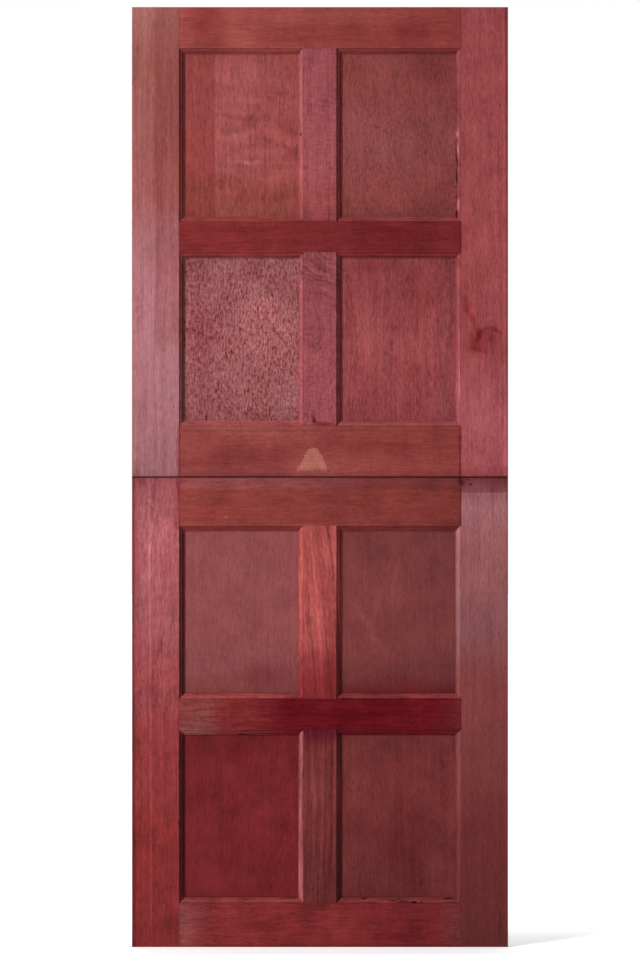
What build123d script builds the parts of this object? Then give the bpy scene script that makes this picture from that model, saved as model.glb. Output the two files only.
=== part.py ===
from build123d import *
import os
from math import asin, cos, sin

# Two-leaf panel door in hardwood: an upper and a lower leaf that close on each
# other along a rebated meeting edge.  Each leaf is two stiles, three rails and
# two muntins round four flat panels.  The ovolo moulding is stuck on the solid,
# so it runs along the edge of every board, and the ends of the rails and the
# muntins are coped over it.  Dowels hold the joints.
#
# Frame: millimetres, origin at the middle of the door's bottom edge, +Z up,
# +X to the right seen from the front, front face at y = -DOOR_T / 2.

# ---------------------------------------------------------------- dimensions
DOOR_W = 813.0            # overall width
DOOR_H = 2032.0           # overall height
DOOR_T = 44.0             # thickness of the framing

STILE_FACE = 102.0        # flat face of a stile, without its moulding
MUNTIN_FACE = 71.0        # flat face of a muntin, without its mouldings
BOTTOM_RAIL_FACE = 95.0
LOWER_MIDDLE_FACE = 67.0
LOWER_MEETING_FACE = 105.0
UPPER_MEETING_FACE = 111.0
UPPER_MIDDLE_FACE = 67.0
TOP_RAIL_FACE = 89.0
OPENING_H = 374.5         # height of each of the eight openings, face to face

# moulding, on the front and on the back
MOULD_W = 11.0            # from the flat face to the sight edge of the panel
QUIRK_D = 3.5             # step down beside the flat face
QUIRK_W = 1.0             # flat at the foot of that step
OVOLO_R = 8.0             # round of the moulding, level where it leaves the quirk
OVOLO_W = 7.8             # how far the round reaches across the board
OVOLO_D = OVOLO_R - (OVOLO_R ** 2 - OVOLO_W ** 2) ** 0.5
LIP_END_D = QUIRK_D + OVOLO_D     # depth of the fillet beside the panel

# panels and their groove
PANEL_T = 19.0
GROOVE_W = 19.4
GROOVE_FLOOR = 1.0        # the groove's floor lies this far behind the flat face's edge
PANEL_IN = 9.0            # how far a panel's side and top reach into the groove

# meeting edges of the two leaves
MEET_Z = 1016.0           # where the leaves meet on the front
REBATE_H = 12.0           # upstand along the back of the lower leaf
REBATE_PLAY = 0.25        # play on each side of the step
MEET_BEVEL = 2.0          # bevel of the two front arrises that meet
ARRIS = 1.0               # easing of the other long arrises

# dowels
DOWEL_R = 6.0             # in the ends of the rails
DOWEL_L = 120.0
PIN_R = 5.0               # in the ends of the muntins
PIN_L = 60.0
PIN_IN_RAIL = 28.0
BORE_PLAY = 0.05          # radial
BORE_OVER = 1.5           # each bore is this much deeper than its dowel reaches

# --------------------------------------------------------------- derived
HW = DOOR_W / 2
HT = DOOR_T / 2
STILE_IN = HW - STILE_FACE               # 304.5, edge of the stile's flat face
MUNTIN_HALF = MUNTIN_FACE / 2
OVER = 30.0                              # how far blanks run past before trimming

LOWER_Z = [
    ("bottom_rail", 0.0, BOTTOM_RAIL_FACE),
    ("middle_rail", BOTTOM_RAIL_FACE + OPENING_H,
     BOTTOM_RAIL_FACE + OPENING_H + LOWER_MIDDLE_FACE),
    ("meeting_rail", MEET_Z - LOWER_MEETING_FACE, MEET_Z + REBATE_H),
]
UPPER_Z = [
    ("meeting_rail", MEET_Z, MEET_Z + UPPER_MEETING_FACE),
    ("middle_rail", MEET_Z + UPPER_MEETING_FACE + OPENING_H,
     MEET_Z + UPPER_MEETING_FACE + OPENING_H + UPPER_MIDDLE_FACE),
    ("top_rail", DOOR_H - TOP_RAIL_FACE, DOOR_H),
]


def edge_profile(e, s):
    """Moulded and grooved edge in section, front to back.
    e is the edge of the flat face, s is +1 where the moulding runs to larger
    values and -1 where it runs to smaller ones.  Each entry is a corner and the
    middle point of the arc to the next corner, or None for a straight line."""
    a = e + s * QUIRK_W
    b = a + s * OVOLO_W
    t = e + s * MOULD_W
    g = e - s * GROOVE_FLOOR
    half_turn = asin(OVOLO_W / OVOLO_R) / 2
    ku, kd = OVOLO_R * sin(half_turn), OVOLO_R * (1 - cos(half_turn))
    yq = -HT + QUIRK_D
    yl = -HT + LIP_END_D
    half = GROOVE_W / 2
    return [
        ((e, -HT), None), ((e, yq), None),
        ((a, yq), (a + s * ku, yq + kd)),
        ((b, yl), None), ((t, yl), None), ((t, -half), None),
        ((g, -half), None), ((g, half), None),
        ((t, half), None), ((t, -yl), None),
        ((b, -yl), (a + s * ku, -yq - kd)),
        ((a, -yq), None), ((e, -yq), None), ((e, HT), None),
    ]


def square_edge(e, s):
    """Plain edge with eased arrises, front to back."""
    return [((e - s * ARRIS, -HT), None), ((e, -HT + ARRIS), None),
            ((e, HT - ARRIS), None), ((e - s * ARRIS, HT), None)]


def blunt_edge(e):
    """Square edge of a blank that is trimmed to the leaf's outline later."""
    return [((e, -HT), None), ((e, HT), None)]


def section(low, high):
    """Closed face of a board's section from its two edges.  The first
    coordinate is across the board, the second is the depth."""
    n = len(low)
    back = [(low[n - 1 - i][0], low[n - 2 - i][1] if i < n - 1 else None) for i in range(n)]
    loop = high + back
    edges = []
    for i, (p, mid) in enumerate(loop):
        q = loop[(i + 1) % len(loop)][0]
        edges.append(Line(p, q) if mid is None else ThreePointArc(p, mid, q))
    return make_face(edges)


def one(shape):
    """The single solid that a boolean leaves."""
    s = shape.solids()
    assert len(s) == 1, len(s)
    return s[0]


def upright(low, high, z0, z1):
    """Board with its length along Z; the section's first coordinate is X."""
    f = section(low, high)
    return Pos(0, 0, z0) * extrude(f, amount=z1 - z0, dir=(0, 0, 1))


def level(low, high, x0, x1):
    """Board with its length along X; the section's first coordinate is Z."""
    f = section(low, high)
    # section (u, v) -> (z, y): the plane's own axes are +Z and +Y, its normal -X
    pl = Plane(origin=(x1, 0, 0), x_dir=(0, 0, 1), z_dir=(-1, 0, 0))
    g = pl * f
    return extrude(g, amount=x1 - x0, dir=(-1, 0, 0))


def leaf_envelope(points):
    """Prism across the door from a leaf's outline in Y and Z."""
    edges = [Line((points[i][0], points[i][1]),
                  (points[(i + 1) % len(points)][0], points[(i + 1) % len(points)][1]))
             for i in range(len(points))]
    f = make_face(edges)
    pl = Plane(origin=(-HW - OVER, 0, 0), x_dir=(0, 1, 0), z_dir=(1, 0, 0))
    return extrude(pl * f, amount=DOOR_W + 2 * OVER, dir=(1, 0, 0))


UPPER_OUTLINE = [
    (-HT, MEET_Z + MEET_BEVEL), (-HT + MEET_BEVEL, MEET_Z),
    (-REBATE_PLAY, MEET_Z), (-REBATE_PLAY, MEET_Z + REBATE_H + 2 * REBATE_PLAY),
    (HT - ARRIS, MEET_Z + REBATE_H + 2 * REBATE_PLAY),
    (HT, MEET_Z + REBATE_H + 2 * REBATE_PLAY + ARRIS),
    (HT, DOOR_H - ARRIS), (HT - ARRIS, DOOR_H),
    (-HT + ARRIS, DOOR_H), (-HT, DOOR_H - ARRIS),
]
LOWER_OUTLINE = [
    (-HT, ARRIS), (-HT + ARRIS, 0.0), (HT - ARRIS, 0.0), (HT, ARRIS),
    (HT, MEET_Z + REBATE_H - ARRIS), (HT - ARRIS, MEET_Z + REBATE_H),
    (REBATE_PLAY, MEET_Z + REBATE_H), (REBATE_PLAY, MEET_Z),
    (-HT + MEET_BEVEL, MEET_Z), (-HT, MEET_Z - MEET_BEVEL),
]


def dowel(r, length):
    """Fluted dowel with bevelled ends, lying along X about the origin."""
    d = Cylinder(r, length, rotation=(0, 90, 0))
    d = chamfer(d.edges().filter_by(GeomType.CIRCLE), 1.2)
    flute_r = r * 0.07
    for i in range(8):
        c = Cylinder(flute_r, length + 2, rotation=(0, 90, 0))
        c = Pos(0, r, 0) * c
        d = d - Rot(45 * i, 0, 0) * c
    return one(d)


def bore(r, length):
    return Cylinder(r + BORE_PLAY, length + 2 * BORE_OVER, rotation=(0, 90, 0))


RAIL_DOWEL = dowel(DOWEL_R, DOWEL_L)
RAIL_BORE = bore(DOWEL_R, DOWEL_L)
MUNTIN_PIN = dowel(PIN_R, PIN_L)
MUNTIN_BORE = bore(PIN_R, PIN_L)

# heights of the two dowels at each end of a rail
DOWEL_Z = {
    "lower_bottom_rail": (28.0, 70.0),
    "lower_middle_rail": (487.0, 519.0),
    "lower_meeting_rail": (939.0, 985.0),
    "upper_meeting_rail": (1056.0, 1100.0),
    "upper_middle_rail": (1519.0, 1551.0),
    "upper_top_rail": (1965.0, 2007.0),
}
PIN_X = 17.0

nodes = {}


def build_leaf(name, rails, outline):
    env = leaf_envelope(outline)
    z_low = min(p[1] for p in outline)
    z_high = max(p[1] for p in outline)

    # stiles: moulded and grooved along the inner edge, full height of the leaf
    left = upright(square_edge(-HW, -1), edge_profile(-STILE_IN, 1), z_low - 5, z_high + 5)
    right = upright(edge_profile(STILE_IN, -1), square_edge(HW, 1), z_low - 5, z_high + 5)
    left = one(left & env)
    right = one(right & env)

    # rails: long enough for their tongues to reach the floor of the stiles'
    # grooves, coped over the stiles' mouldings
    boards = {}
    n = len(rails)
    for i, (rname, z0, z1) in enumerate(rails):
        full = f"{name}_{rname}"
        low = edge_profile(z0, -1) if i > 0 else blunt_edge(z0 - OVER)
        high = edge_profile(z1, 1) if i < n - 1 else blunt_edge(z1 + OVER)
        x = STILE_IN + GROOVE_FLOOR
        r = level(low, high, -x, x)
        r = r & env
        r = r - left - right
        boards[full] = one(r)

    # muntins: coped over the rails' mouldings
    muntins = []
    names = ("bottom_muntin", "top_muntin")
    for i in range(n - 1):
        z0 = rails[i][2]
        z1 = rails[i + 1][1]
        full = f"{name}_{names[i]}"
        m = upright(edge_profile(-MUNTIN_HALF, -1), edge_profile(MUNTIN_HALF, 1),
                    z0 - GROOVE_FLOOR, z1 + GROOVE_FLOOR)
        m = m - boards[f"{name}_{rails[i][0]}"] - boards[f"{name}_{rails[i + 1][0]}"]
        boards[full] = one(m)
        muntins.append((full, i, z0, z1))

    # dowels and their bores
    for (rname, z0, z1) in rails:
        full = f"{name}_{rname}"
        group = []
        for sx in (-1, 1):
            for z in DOWEL_Z[full]:
                at = Pos(sx * STILE_IN, 0, z)
                group.append(at * RAIL_DOWEL)
                hole = at * RAIL_BORE
                boards[full] = boards[full] - hole
                if sx < 0:
                    left = left - hole
                else:
                    right = right - hole
        boards[full] = one(boards[full])
        nodes[f"{full}_dowels"] = Compound(children=group)
    for (full, i, z0, z1) in muntins:
        group = []
        for (zf, s, rname) in ((z0, 1, rails[i][0]), (z1, -1, rails[i + 1][0])):
            rfull = f"{name}_{rname}"
            zc = zf + s * (PIN_L / 2 - PIN_IN_RAIL)
            for sx in (-1, 1):
                at = Pos(sx * PIN_X, 0, zc) * Rot(0, 90, 0)
                group.append(at * MUNTIN_PIN)
                hole = at * MUNTIN_BORE
                boards[full] = boards[full] - hole
                boards[rfull] = boards[rfull] - hole
            boards[rfull] = one(boards[rfull])
        boards[full] = one(boards[full])
        nodes[f"{full}_dowels"] = Compound(children=group)
    nodes[f"{name}_left_stile"] = one(left)
    nodes[f"{name}_right_stile"] = one(right)
    for k, v in boards.items():
        nodes[k] = v

    # flat panels, loose in their grooves and standing on the groove's floor
    rows = ("bottom", "top")
    for i in range(n - 1):
        z0 = rails[i][2] - GROOVE_FLOOR
        z1 = rails[i + 1][1] - MOULD_W + PANEL_IN
        x1 = STILE_IN - MOULD_W + PANEL_IN
        x0 = MUNTIN_HALF + MOULD_W - PANEL_IN
        w = x1 - x0
        p = Pos((x0 + x1) / 2, 0, (z0 + z1) / 2) * Box(w, PANEL_T, z1 - z0)
        q = Pos(-(x0 + x1) / 2, 0, (z0 + z1) / 2) * Box(w, PANEL_T, z1 - z0)
        nodes[f"{name}_{rows[i]}_right_panel"] = one(p)
        nodes[f"{name}_{rows[i]}_left_panel"] = one(q)


build_leaf("lower", LOWER_Z, LOWER_OUTLINE)
build_leaf("upper", UPPER_Z, UPPER_OUTLINE)

os.makedirs("parts", exist_ok=True)
for key, shape in nodes.items():
    export_step(shape, f"parts/{key}.step")
    print(key, len(shape.solids()), round(sum(s.volume for s in shape.solids()) / 1000.0, 1), "cm3")
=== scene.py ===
import math
import random

import bmesh
import bpy
from mathutils import Matrix, Vector, noise


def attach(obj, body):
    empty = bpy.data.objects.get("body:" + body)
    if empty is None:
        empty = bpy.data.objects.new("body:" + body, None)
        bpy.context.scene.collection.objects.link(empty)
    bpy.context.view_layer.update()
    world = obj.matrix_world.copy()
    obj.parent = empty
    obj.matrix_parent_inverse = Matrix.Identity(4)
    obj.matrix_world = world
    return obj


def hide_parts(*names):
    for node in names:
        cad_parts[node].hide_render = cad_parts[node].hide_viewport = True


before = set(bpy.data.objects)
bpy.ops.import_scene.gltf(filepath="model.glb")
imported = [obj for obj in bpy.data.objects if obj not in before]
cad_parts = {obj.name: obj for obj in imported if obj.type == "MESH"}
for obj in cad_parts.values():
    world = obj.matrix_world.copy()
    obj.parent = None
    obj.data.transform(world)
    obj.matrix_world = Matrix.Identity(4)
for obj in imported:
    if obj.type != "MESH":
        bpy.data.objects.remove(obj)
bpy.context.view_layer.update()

MM = 0.001

# ------------------------------------------------------------- the door, in mm
HW, HT, H = 406.5, 22.0, 2032.0
STILE_IN = 304.5          # edge of a stile's flat face
MUN = 35.5                # half of a muntin's flat face
MEET = 1016.0
REB = 12.0                # upstand along the back of the lower leaf
LEAVES = {
    "lower": [("bottom_rail", 0.0, 95.0), ("middle_rail", 469.5, 536.5), ("meeting_rail", 911.0, MEET + REB)],
    "upper": [("meeting_rail", MEET, 1127.0), ("middle_rail", 1501.5, 1568.5), ("top_rail", 1943.0, H)],
}
DOWEL_Z = {
    "lower_bottom_rail": (28.0, 70.0), "lower_middle_rail": (487.0, 519.0), "lower_meeting_rail": (939.0, 985.0),
    "upper_meeting_rail": (1056.0, 1100.0), "upper_middle_rail": (1519.0, 1551.0), "upper_top_rail": (1965.0, 2007.0),
}


# ------------------------------------------------------------- mesh helpers
def round_corners(pts, seg=3):
    """Closed outline from (u, w, radius) corners, each rounded with a small arc."""
    out = []
    n = len(pts)
    for i, (u, w, r) in enumerate(pts):
        p = Vector((u, w))
        a = Vector(pts[i - 1][:2]) - p
        b = Vector(pts[(i + 1) % n][:2]) - p
        if r <= 0 or a.length < 1e-6 or b.length < 1e-6:
            out.append((u, w))
            continue
        ang = a.angle(b)
        if ang > math.radians(165):
            out.append((u, w))
            continue
        cut = min(r / math.tan(ang / 2), a.length * 0.45, b.length * 0.45)
        s, e = p + a.normalized() * cut, p + b.normalized() * cut
        for k in range(seg + 1):
            t = k / seg
            q = s * (1 - t) ** 2 + p * 2 * t * (1 - t) + e * t ** 2
            out.append((q.x, q.y))
    return out


def edge(e, s, grow=0.0):
    """Moulded and grooved edge of a board, front to back; s is the way it faces.
    grow makes the same edge a little larger, for cutting the cope that fits it."""
    e = e + s * grow
    a, t, g = e + s * 1.0, e + s * 11.0, e - s * 1.0
    half = 9.7 - grow
    top = [(e, -HT, 0.0 if grow else 0.4), (e, -HT + 3.5, 0.25), (a, -HT + 3.5, 0)]
    for k in range(1, 15):
        th = math.asin(7.8 / 8.0) * k / 14
        top.append((a + s * 8.0 * math.sin(th), -HT + 3.5 + 8.0 * (1 - math.cos(th)), 0))
    lip = -HT + 3.5 + 8.0 - math.sqrt(8.0 ** 2 - 7.8 ** 2)
    top += [(t, lip, 0.4), (t, -half, 0.3)]
    back = [(u, -w, rr) for u, w, rr in reversed(top)]
    return top + [(g, -half, 0), (g, half, 0)] + back


def plain_edge(e, s, r=1.1):
    return [(e, -HT, r), (e, HT, r)]


def outline(low, high):
    return round_corners(high + low[::-1], 4)


def prism(pts, axis, t0, t1, steps=1):
    """Closed prism with that outline. For axis Z the outline is (x, y), for X it is (z, y)."""
    bm = bmesh.new()
    rings = []
    for k in range(steps + 1):
        t = t0 + (t1 - t0) * k / steps
        rings.append([bm.verts.new((Vector((u, w, t)) if axis == "Z" else Vector((t, w, u))) * MM) for u, w in pts])
    n = len(pts)
    for a, b in zip(rings, rings[1:]):
        for i in range(n):
            j = (i + 1) % n
            bm.faces.new((a[i], a[j], b[j], b[i]))
    bm.faces.new(rings[0][::-1])
    bm.faces.new(rings[-1])
    bmesh.ops.recalc_face_normals(bm, faces=bm.faces[:])
    return bm


def envelope(name):
    """Outline of a leaf in depth and height, run across the door."""
    if name == "upper":
        p = [(MEET, -HT, 2.0), (MEET, -0.25, 0.3), (MEET + REB + 0.5, -0.25, 0.3), (MEET + REB + 0.5, HT, 1.1),
             (H, HT, 1.1), (H, -HT, 1.1)]
    else:
        p = [(0.0, -HT, 1.1), (0.0, HT, 1.1), (MEET + REB, HT, 1.1), (MEET + REB, 0.25, 0.5), (MEET, 0.25, 0.3), (MEET, -HT, 2.0)]
    pts = round_corners(p, 4)
    if name == "upper":
        pts = pts[::-1]
    return prism(pts, "X", -HW - 30, HW + 30)


def to_object(bm, name):
    me = bpy.data.meshes.new(name)
    bm.to_mesh(me)
    bm.free()
    o = bpy.data.objects.new(name, me)
    bpy.context.scene.collection.objects.link(o)
    return o


def boolean(obj, cutter, op="DIFFERENCE", selfcut=False):
    m = obj.modifiers.new("b", "BOOLEAN")
    m.operation = op
    m.solver = "EXACT"
    m.use_self = selfcut
    m.object = cutter
    bpy.context.view_layer.update()
    me = bpy.data.meshes.new_from_object(obj.evaluated_get(bpy.context.evaluated_depsgraph_get()))
    obj.modifiers.clear()
    old = obj.data
    obj.data = me
    bpy.data.meshes.remove(old)


def drop(obj):
    me = obj.data
    bpy.data.objects.remove(obj)
    bpy.data.meshes.remove(me)


def bore_mesh(specs, name):
    """Bores for dowels: (centre, axis, radius, length) in mm."""
    bm = bmesh.new()
    for c, ax, r, l in specs:
        rot = Matrix.Rotation(math.radians(90), 4, "Y") if ax == "X" else Matrix.Identity(4)
        bmesh.ops.create_cone(bm, cap_ends=True, segments=28, radius1=r * MM, radius2=r * MM, depth=l * MM,
                              matrix=Matrix.Translation(Vector(c) * MM) @ rot)
    return to_object(bm, name)


def shade(obj, axis, angle=28.0):
    """Smooth only the roundings that run along the board: every other face keeps its own normal."""
    me = obj.data
    bm = bmesh.new()
    bm.from_mesh(me)
    bmesh.ops.remove_doubles(bm, verts=bm.verts[:], dist=0.000004)
    bmesh.ops.dissolve_degenerate(bm, edges=bm.edges[:], dist=0.000002)
    lim = math.radians(angle)
    for f in bm.faces:
        n = f.normal
        f.smooth = abs(n[axis]) < 0.01 and max(abs(n.x), abs(n.y), abs(n.z)) < 0.9995 and f.calc_area() > 1e-10
    for e in bm.edges:
        e.smooth = not (len(e.link_faces) == 2 and e.calc_face_angle(0.0) > lim)
    bm.to_mesh(me)
    bm.free()


# ------------------------------------------------------------- boards
boards = {}


def build_leaf(name, rails):
    env = to_object(envelope(name), "env")
    z0, z1 = (-5.0, MEET + REB + 5) if name == "lower" else (MEET - 5, H + 5)

    def stile(side, grow):
        if side < 0:
            low, high = plain_edge(-HW, -1), edge(-STILE_IN, 1, grow)
        else:
            low, high = edge(STILE_IN, -1, grow), plain_edge(HW, 1)
        return prism(outline(low, high), "Z", z0, z1)

    made = {}
    cutters = {}
    for side, word in ((-1, "left_stile"), (1, "right_stile")):
        o = to_object(stile(side, 0.0), f"{name}_{word}_board")
        boolean(o, env, "INTERSECT")
        made[f"{name}_{word}"] = o
        cutters[side] = to_object(stile(side, 0.12), "cut")

    x = STILE_IN + 0.9
    rail_cut = {}
    for i, (rname, a, b) in enumerate(rails):
        full = f"{name}_{rname}"
        for grow, keep in ((0.0, True), (0.12, False)):
            low = edge(a, -1, grow) if i > 0 else [(a - 30, -HT, 0), (a - 30, HT, 0)]
            high = edge(b, 1, grow) if i < 2 else [(b + 30, -HT, 0), (b + 30, HT, 0)]
            o = to_object(prism(outline(low, high), "X", -x, x), f"{full}_board" if keep else "cut")
            if keep:
                boolean(o, env, "INTERSECT")
                boolean(o, cutters[-1])
                boolean(o, cutters[1])
                made[full] = o
            else:
                rail_cut[i] = o
    for i, word in ((0, "bottom_muntin"), (1, "top_muntin")):
        full = f"{name}_{word}"
        a, b = rails[i][2] - 0.9, rails[i + 1][1] + 0.9
        o = to_object(prism(outline(edge(-MUN, -1), edge(MUN, 1)), "Z", a, b), f"{full}_board")
        boolean(o, rail_cut[i])
        boolean(o, rail_cut[i + 1])
        made[full] = o
    for o in (env, *cutters.values(), *rail_cut.values()):
        drop(o)

    # bores for the dowels
    bores = {k: [] for k in made}
    for rname, a, b in rails:
        full = f"{name}_{rname}"
        for sx, st in ((-1, "left_stile"), (1, "right_stile")):
            for z in DOWEL_Z[full]:
                spec = ((sx * STILE_IN, 0, z), "X", 6.08, 123.0)
                bores[full].append(spec)
                bores[f"{name}_{st}"].append(spec)
    for i, word in ((0, "bottom_muntin"), (1, "top_muntin")):
        for zf, s, r in ((rails[i][2], 1, rails[i][0]), (rails[i + 1][1], -1, rails[i + 1][0])):
            for sx in (-1, 1):
                spec = ((sx * 17.0, 0, zf + s * 2.0), "Z", 5.08, 63.0)
                bores[f"{name}_{word}"].append(spec)
                bores[f"{name}_{r}"].append(spec)
    for k, specs in bores.items():
        c = bore_mesh(specs, "bores")
        boolean(made[k], c)
        drop(c)
    boards.update(made)


def panel_mesh(x0, x1, z0, z1, seed):
    """Flat panel with softened edges and the slight unevenness of a planed face."""
    bm = bmesh.new()
    nx, nz = 36, 50
    rnd = random.Random(seed)
    off = Vector((rnd.uniform(-50, 50), rnd.uniform(-50, 50), rnd.uniform(-50, 50)))
    bow = rnd.uniform(-0.16, 0.16)
    verts = {}
    rim = 0.8
    xs = [x0, x0 + rim] + [x0 + rim + (x1 - x0 - 2 * rim) * i / nx for i in range(1, nx)] + [x1 - rim, x1]
    zs = [z0, z0 + rim] + [z0 + rim + (z1 - z0 - 2 * rim) * i / nz for i in range(1, nz)] + [z1 - rim, z1]
    for side in (-1, 1):
        for i, x in enumerate(xs):
            for j, z in enumerate(zs):
                d = 9.5
                onrim = i in (0, len(xs) - 1) or j in (0, len(zs) - 1)
                if onrim:
                    d -= 0.8
                else:
                    p = Vector((x * 0.012, z * 0.007, 0)) + off
                    inner = max(0.0, min(1.0, min(x - x0, x1 - x, z - z0, z1 - z) / 30.0))
                    d -= 0.02 + 0.09 * (noise.noise(p) * 0.5 + 0.5) * inner
                    u = (x - x0) / (x1 - x0) * 2 - 1
                    d += side * bow * (1 - u * u) * inner
                verts[side, i, j] = bm.verts.new(Vector((x, side * d, z)) * MM)
    for side in (-1, 1):
        for i in range(len(xs) - 1):
            for j in range(len(zs) - 1):
                q = [verts[side, i, j], verts[side, i + 1, j], verts[side, i + 1, j + 1], verts[side, i, j + 1]]
                bm.faces.new(q if side < 0 else q[::-1])
    ring = [(i, 0) for i in range(len(xs))] + [(len(xs) - 1, j) for j in range(1, len(zs))]
    ring += [(i, len(zs) - 1) for i in range(len(xs) - 2, -1, -1)] + [(0, j) for j in range(len(zs) - 2, 0, -1)]
    for k in range(len(ring)):
        a, b = ring[k], ring[(k + 1) % len(ring)]
        bm.faces.new((verts[(-1, *b)], verts[(-1, *a)], verts[(1, *a)], verts[(1, *b)]))
    bmesh.ops.recalc_face_normals(bm, faces=bm.faces[:])
    return bm


def build_panels(name, rails, first):
    k = first
    for i, row in ((0, "bottom"), (1, "top")):
        z0, z1 = rails[i][2] - 1.0, rails[i + 1][1] - 11.0 + 9.0
        for s, side in ((-1, "left"), (1, "right")):
            xa, xb = sorted((s * (MUN + 2.0), s * (STILE_IN - 2.0)))
            full = f"{name}_{row}_{side}_panel"
            boards[full] = to_object(panel_mesh(xa, xb, z0, z1, k), f"{full}_board")
            k += 1


for leaf_no, (leaf, rails) in enumerate(LEAVES.items()):
    build_leaf(leaf, rails)
    build_panels(leaf, rails, 40 + 10 * leaf_no)


def lump(bm, centre, radii, seed, turn=0.0):
    """Ragged ellipsoid: its long way along one radius, its surface broken as split wood is."""
    rnd = random.Random(seed)
    off = Vector((rnd.uniform(-40, 40), rnd.uniform(-40, 40), rnd.uniform(-40, 40)))
    r = bmesh.ops.create_icosphere(bm, subdivisions=3, radius=1.0)
    rot = Matrix.Rotation(math.radians(turn), 3, "Y")
    for v in r["verts"]:
        n = v.co.normalized()
        k = 1.0 + 0.42 * noise.noise(n * 2.3 + off) + 0.2 * noise.noise(n * 6.0 + off)
        q = rot @ Vector((n.x * radii[0] * k, n.y * radii[1] * k, n.z * radii[2] * k))
        v.co = (Vector(centre) + q) * MM


def tear(node, lumps):
    for i, (c, r, turn) in enumerate(lumps):
        bm = bmesh.new()
        lump(bm, c, r, hash_of(node) + i, turn)
        cut = to_object(bm, "tear")
        boolean(boards[node], cut)
        drop(cut)


def hash_of(word):
    return sum(ord(ch) * (i + 3) for i, ch in enumerate(word))


# torn lip beside the upper right panel
tear("upper_right_stile", [
    ((295.4, -11.6, 1741), (2.4, 3.2, 15), 1.5), ((296.2, -12.4, 1716), (3.0, 3.4, 13), -2.0),
    ((294.6, -11.4, 1692), (2.0, 3.0, 12), 1.0), ((297.0, -12.6, 1664), (3.4, 3.4, 17), 2.0),
    ((295.0, -11.6, 1632), (2.2, 3.0, 16), -1.5), ((294.4, -11.2, 1604), (1.8, 2.8, 9), 0.0),
    ((297.4, -12.8, 1589), (3.2, 3.6, 8), 3.0), ((293.9, -11.0, 1796), (1.4, 2.4, 12), 0.0),
])
# hole in the muntin's round
tear("upper_top_muntin", [((-42.6, -15.2, 1757.5), (1.9, 4.0, 3.4), 0)])
# gaps under the lip above the lowest panels
tear("lower_middle_rail", [
    ((-167, -11.2, 459.4), (13, 3.4, 1.8), 1.0), ((-150, -11.0, 458.6), (6, 2.8, 1.0), 0),
    ((291.5, -11.4, 459.8), (6.0, 3.6, 2.2), 0),
])
# broken round along the bottom rail
tear("lower_bottom_rail", [
    ((95.5, -13.4, 103.2), (7.0, 4.4, 2.6), 0), ((57, -14.8, 99.6), (6.5, 2.0, 0.9), 0),
    ((139, -13.6, 103.0), (8.0, 3.0, 1.5), 3), ((158, -15.4, 99.8), (14, 3.2, 1.2), 5), ((183, -16.6, 98.0), (16, 3.2, 1.1), 2),
    ((204, -17.6, 96.4), (7.0, 4.4, 2.6), 0), ((219, -17.0, 98.2), (3.2, 2.4, 1.2), 0),
    ((277, -13.2, 103.4), (12, 4.4, 2.4), 0), ((288, -18.4, 96.0), (4.0, 2.6, 1.0), 0),
    ((-66, -12.8, 104.6), (20, 3.0, 1.0), -1),
])
for node, o in boards.items():
    shade(o, 0 if "rail" in node else 2)


# ------------------------------------------------------------- wood
def lin(c):
    """Linear colour from 0-255 display values."""
    return tuple((v / 255 / 12.92) if v / 255 <= 0.04045 else ((v / 255 + 0.055) / 1.055) ** 2.4 for v in c)


# stains and weathered tints that the boards are mixed from; haze also holds a painted sheen
TINT = {
    "haze": lin((168, 109, 114)),      # greyed pink from wear, with a painted sheen of reflected light in it
    "pink": lin((172, 93, 97)),
    "rose": lin((157, 79, 84)),
    "salmon": lin((168, 79, 76)),
    "clay": lin((156, 88, 84)),
    "brick": lin((147, 69, 65)),
    "rust": lin((136, 60, 56)),
    "garnet": lin((151, 71, 73)),
    "mauve": lin((151, 90, 92)),
    "dun": lin((160, 98, 91)),         # sun-bleached brown
    "dusk": lin((142, 75, 76)),
    "russet": lin((142, 56, 58)),
    "umber": lin((122, 60, 59)),
    "cocoa": lin((109, 47, 47)),
    "oxblood": lin((126, 44, 45)),
    "crimson": lin((113, 37, 40)),
    "wine": lin((98, 20, 28)),
    "plum": lin((104, 34, 44)),
    "tan": lin((174, 108, 92)),
    "torn": lin((196, 118, 112)),
    "black": lin((46, 12, 12)),
}


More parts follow.
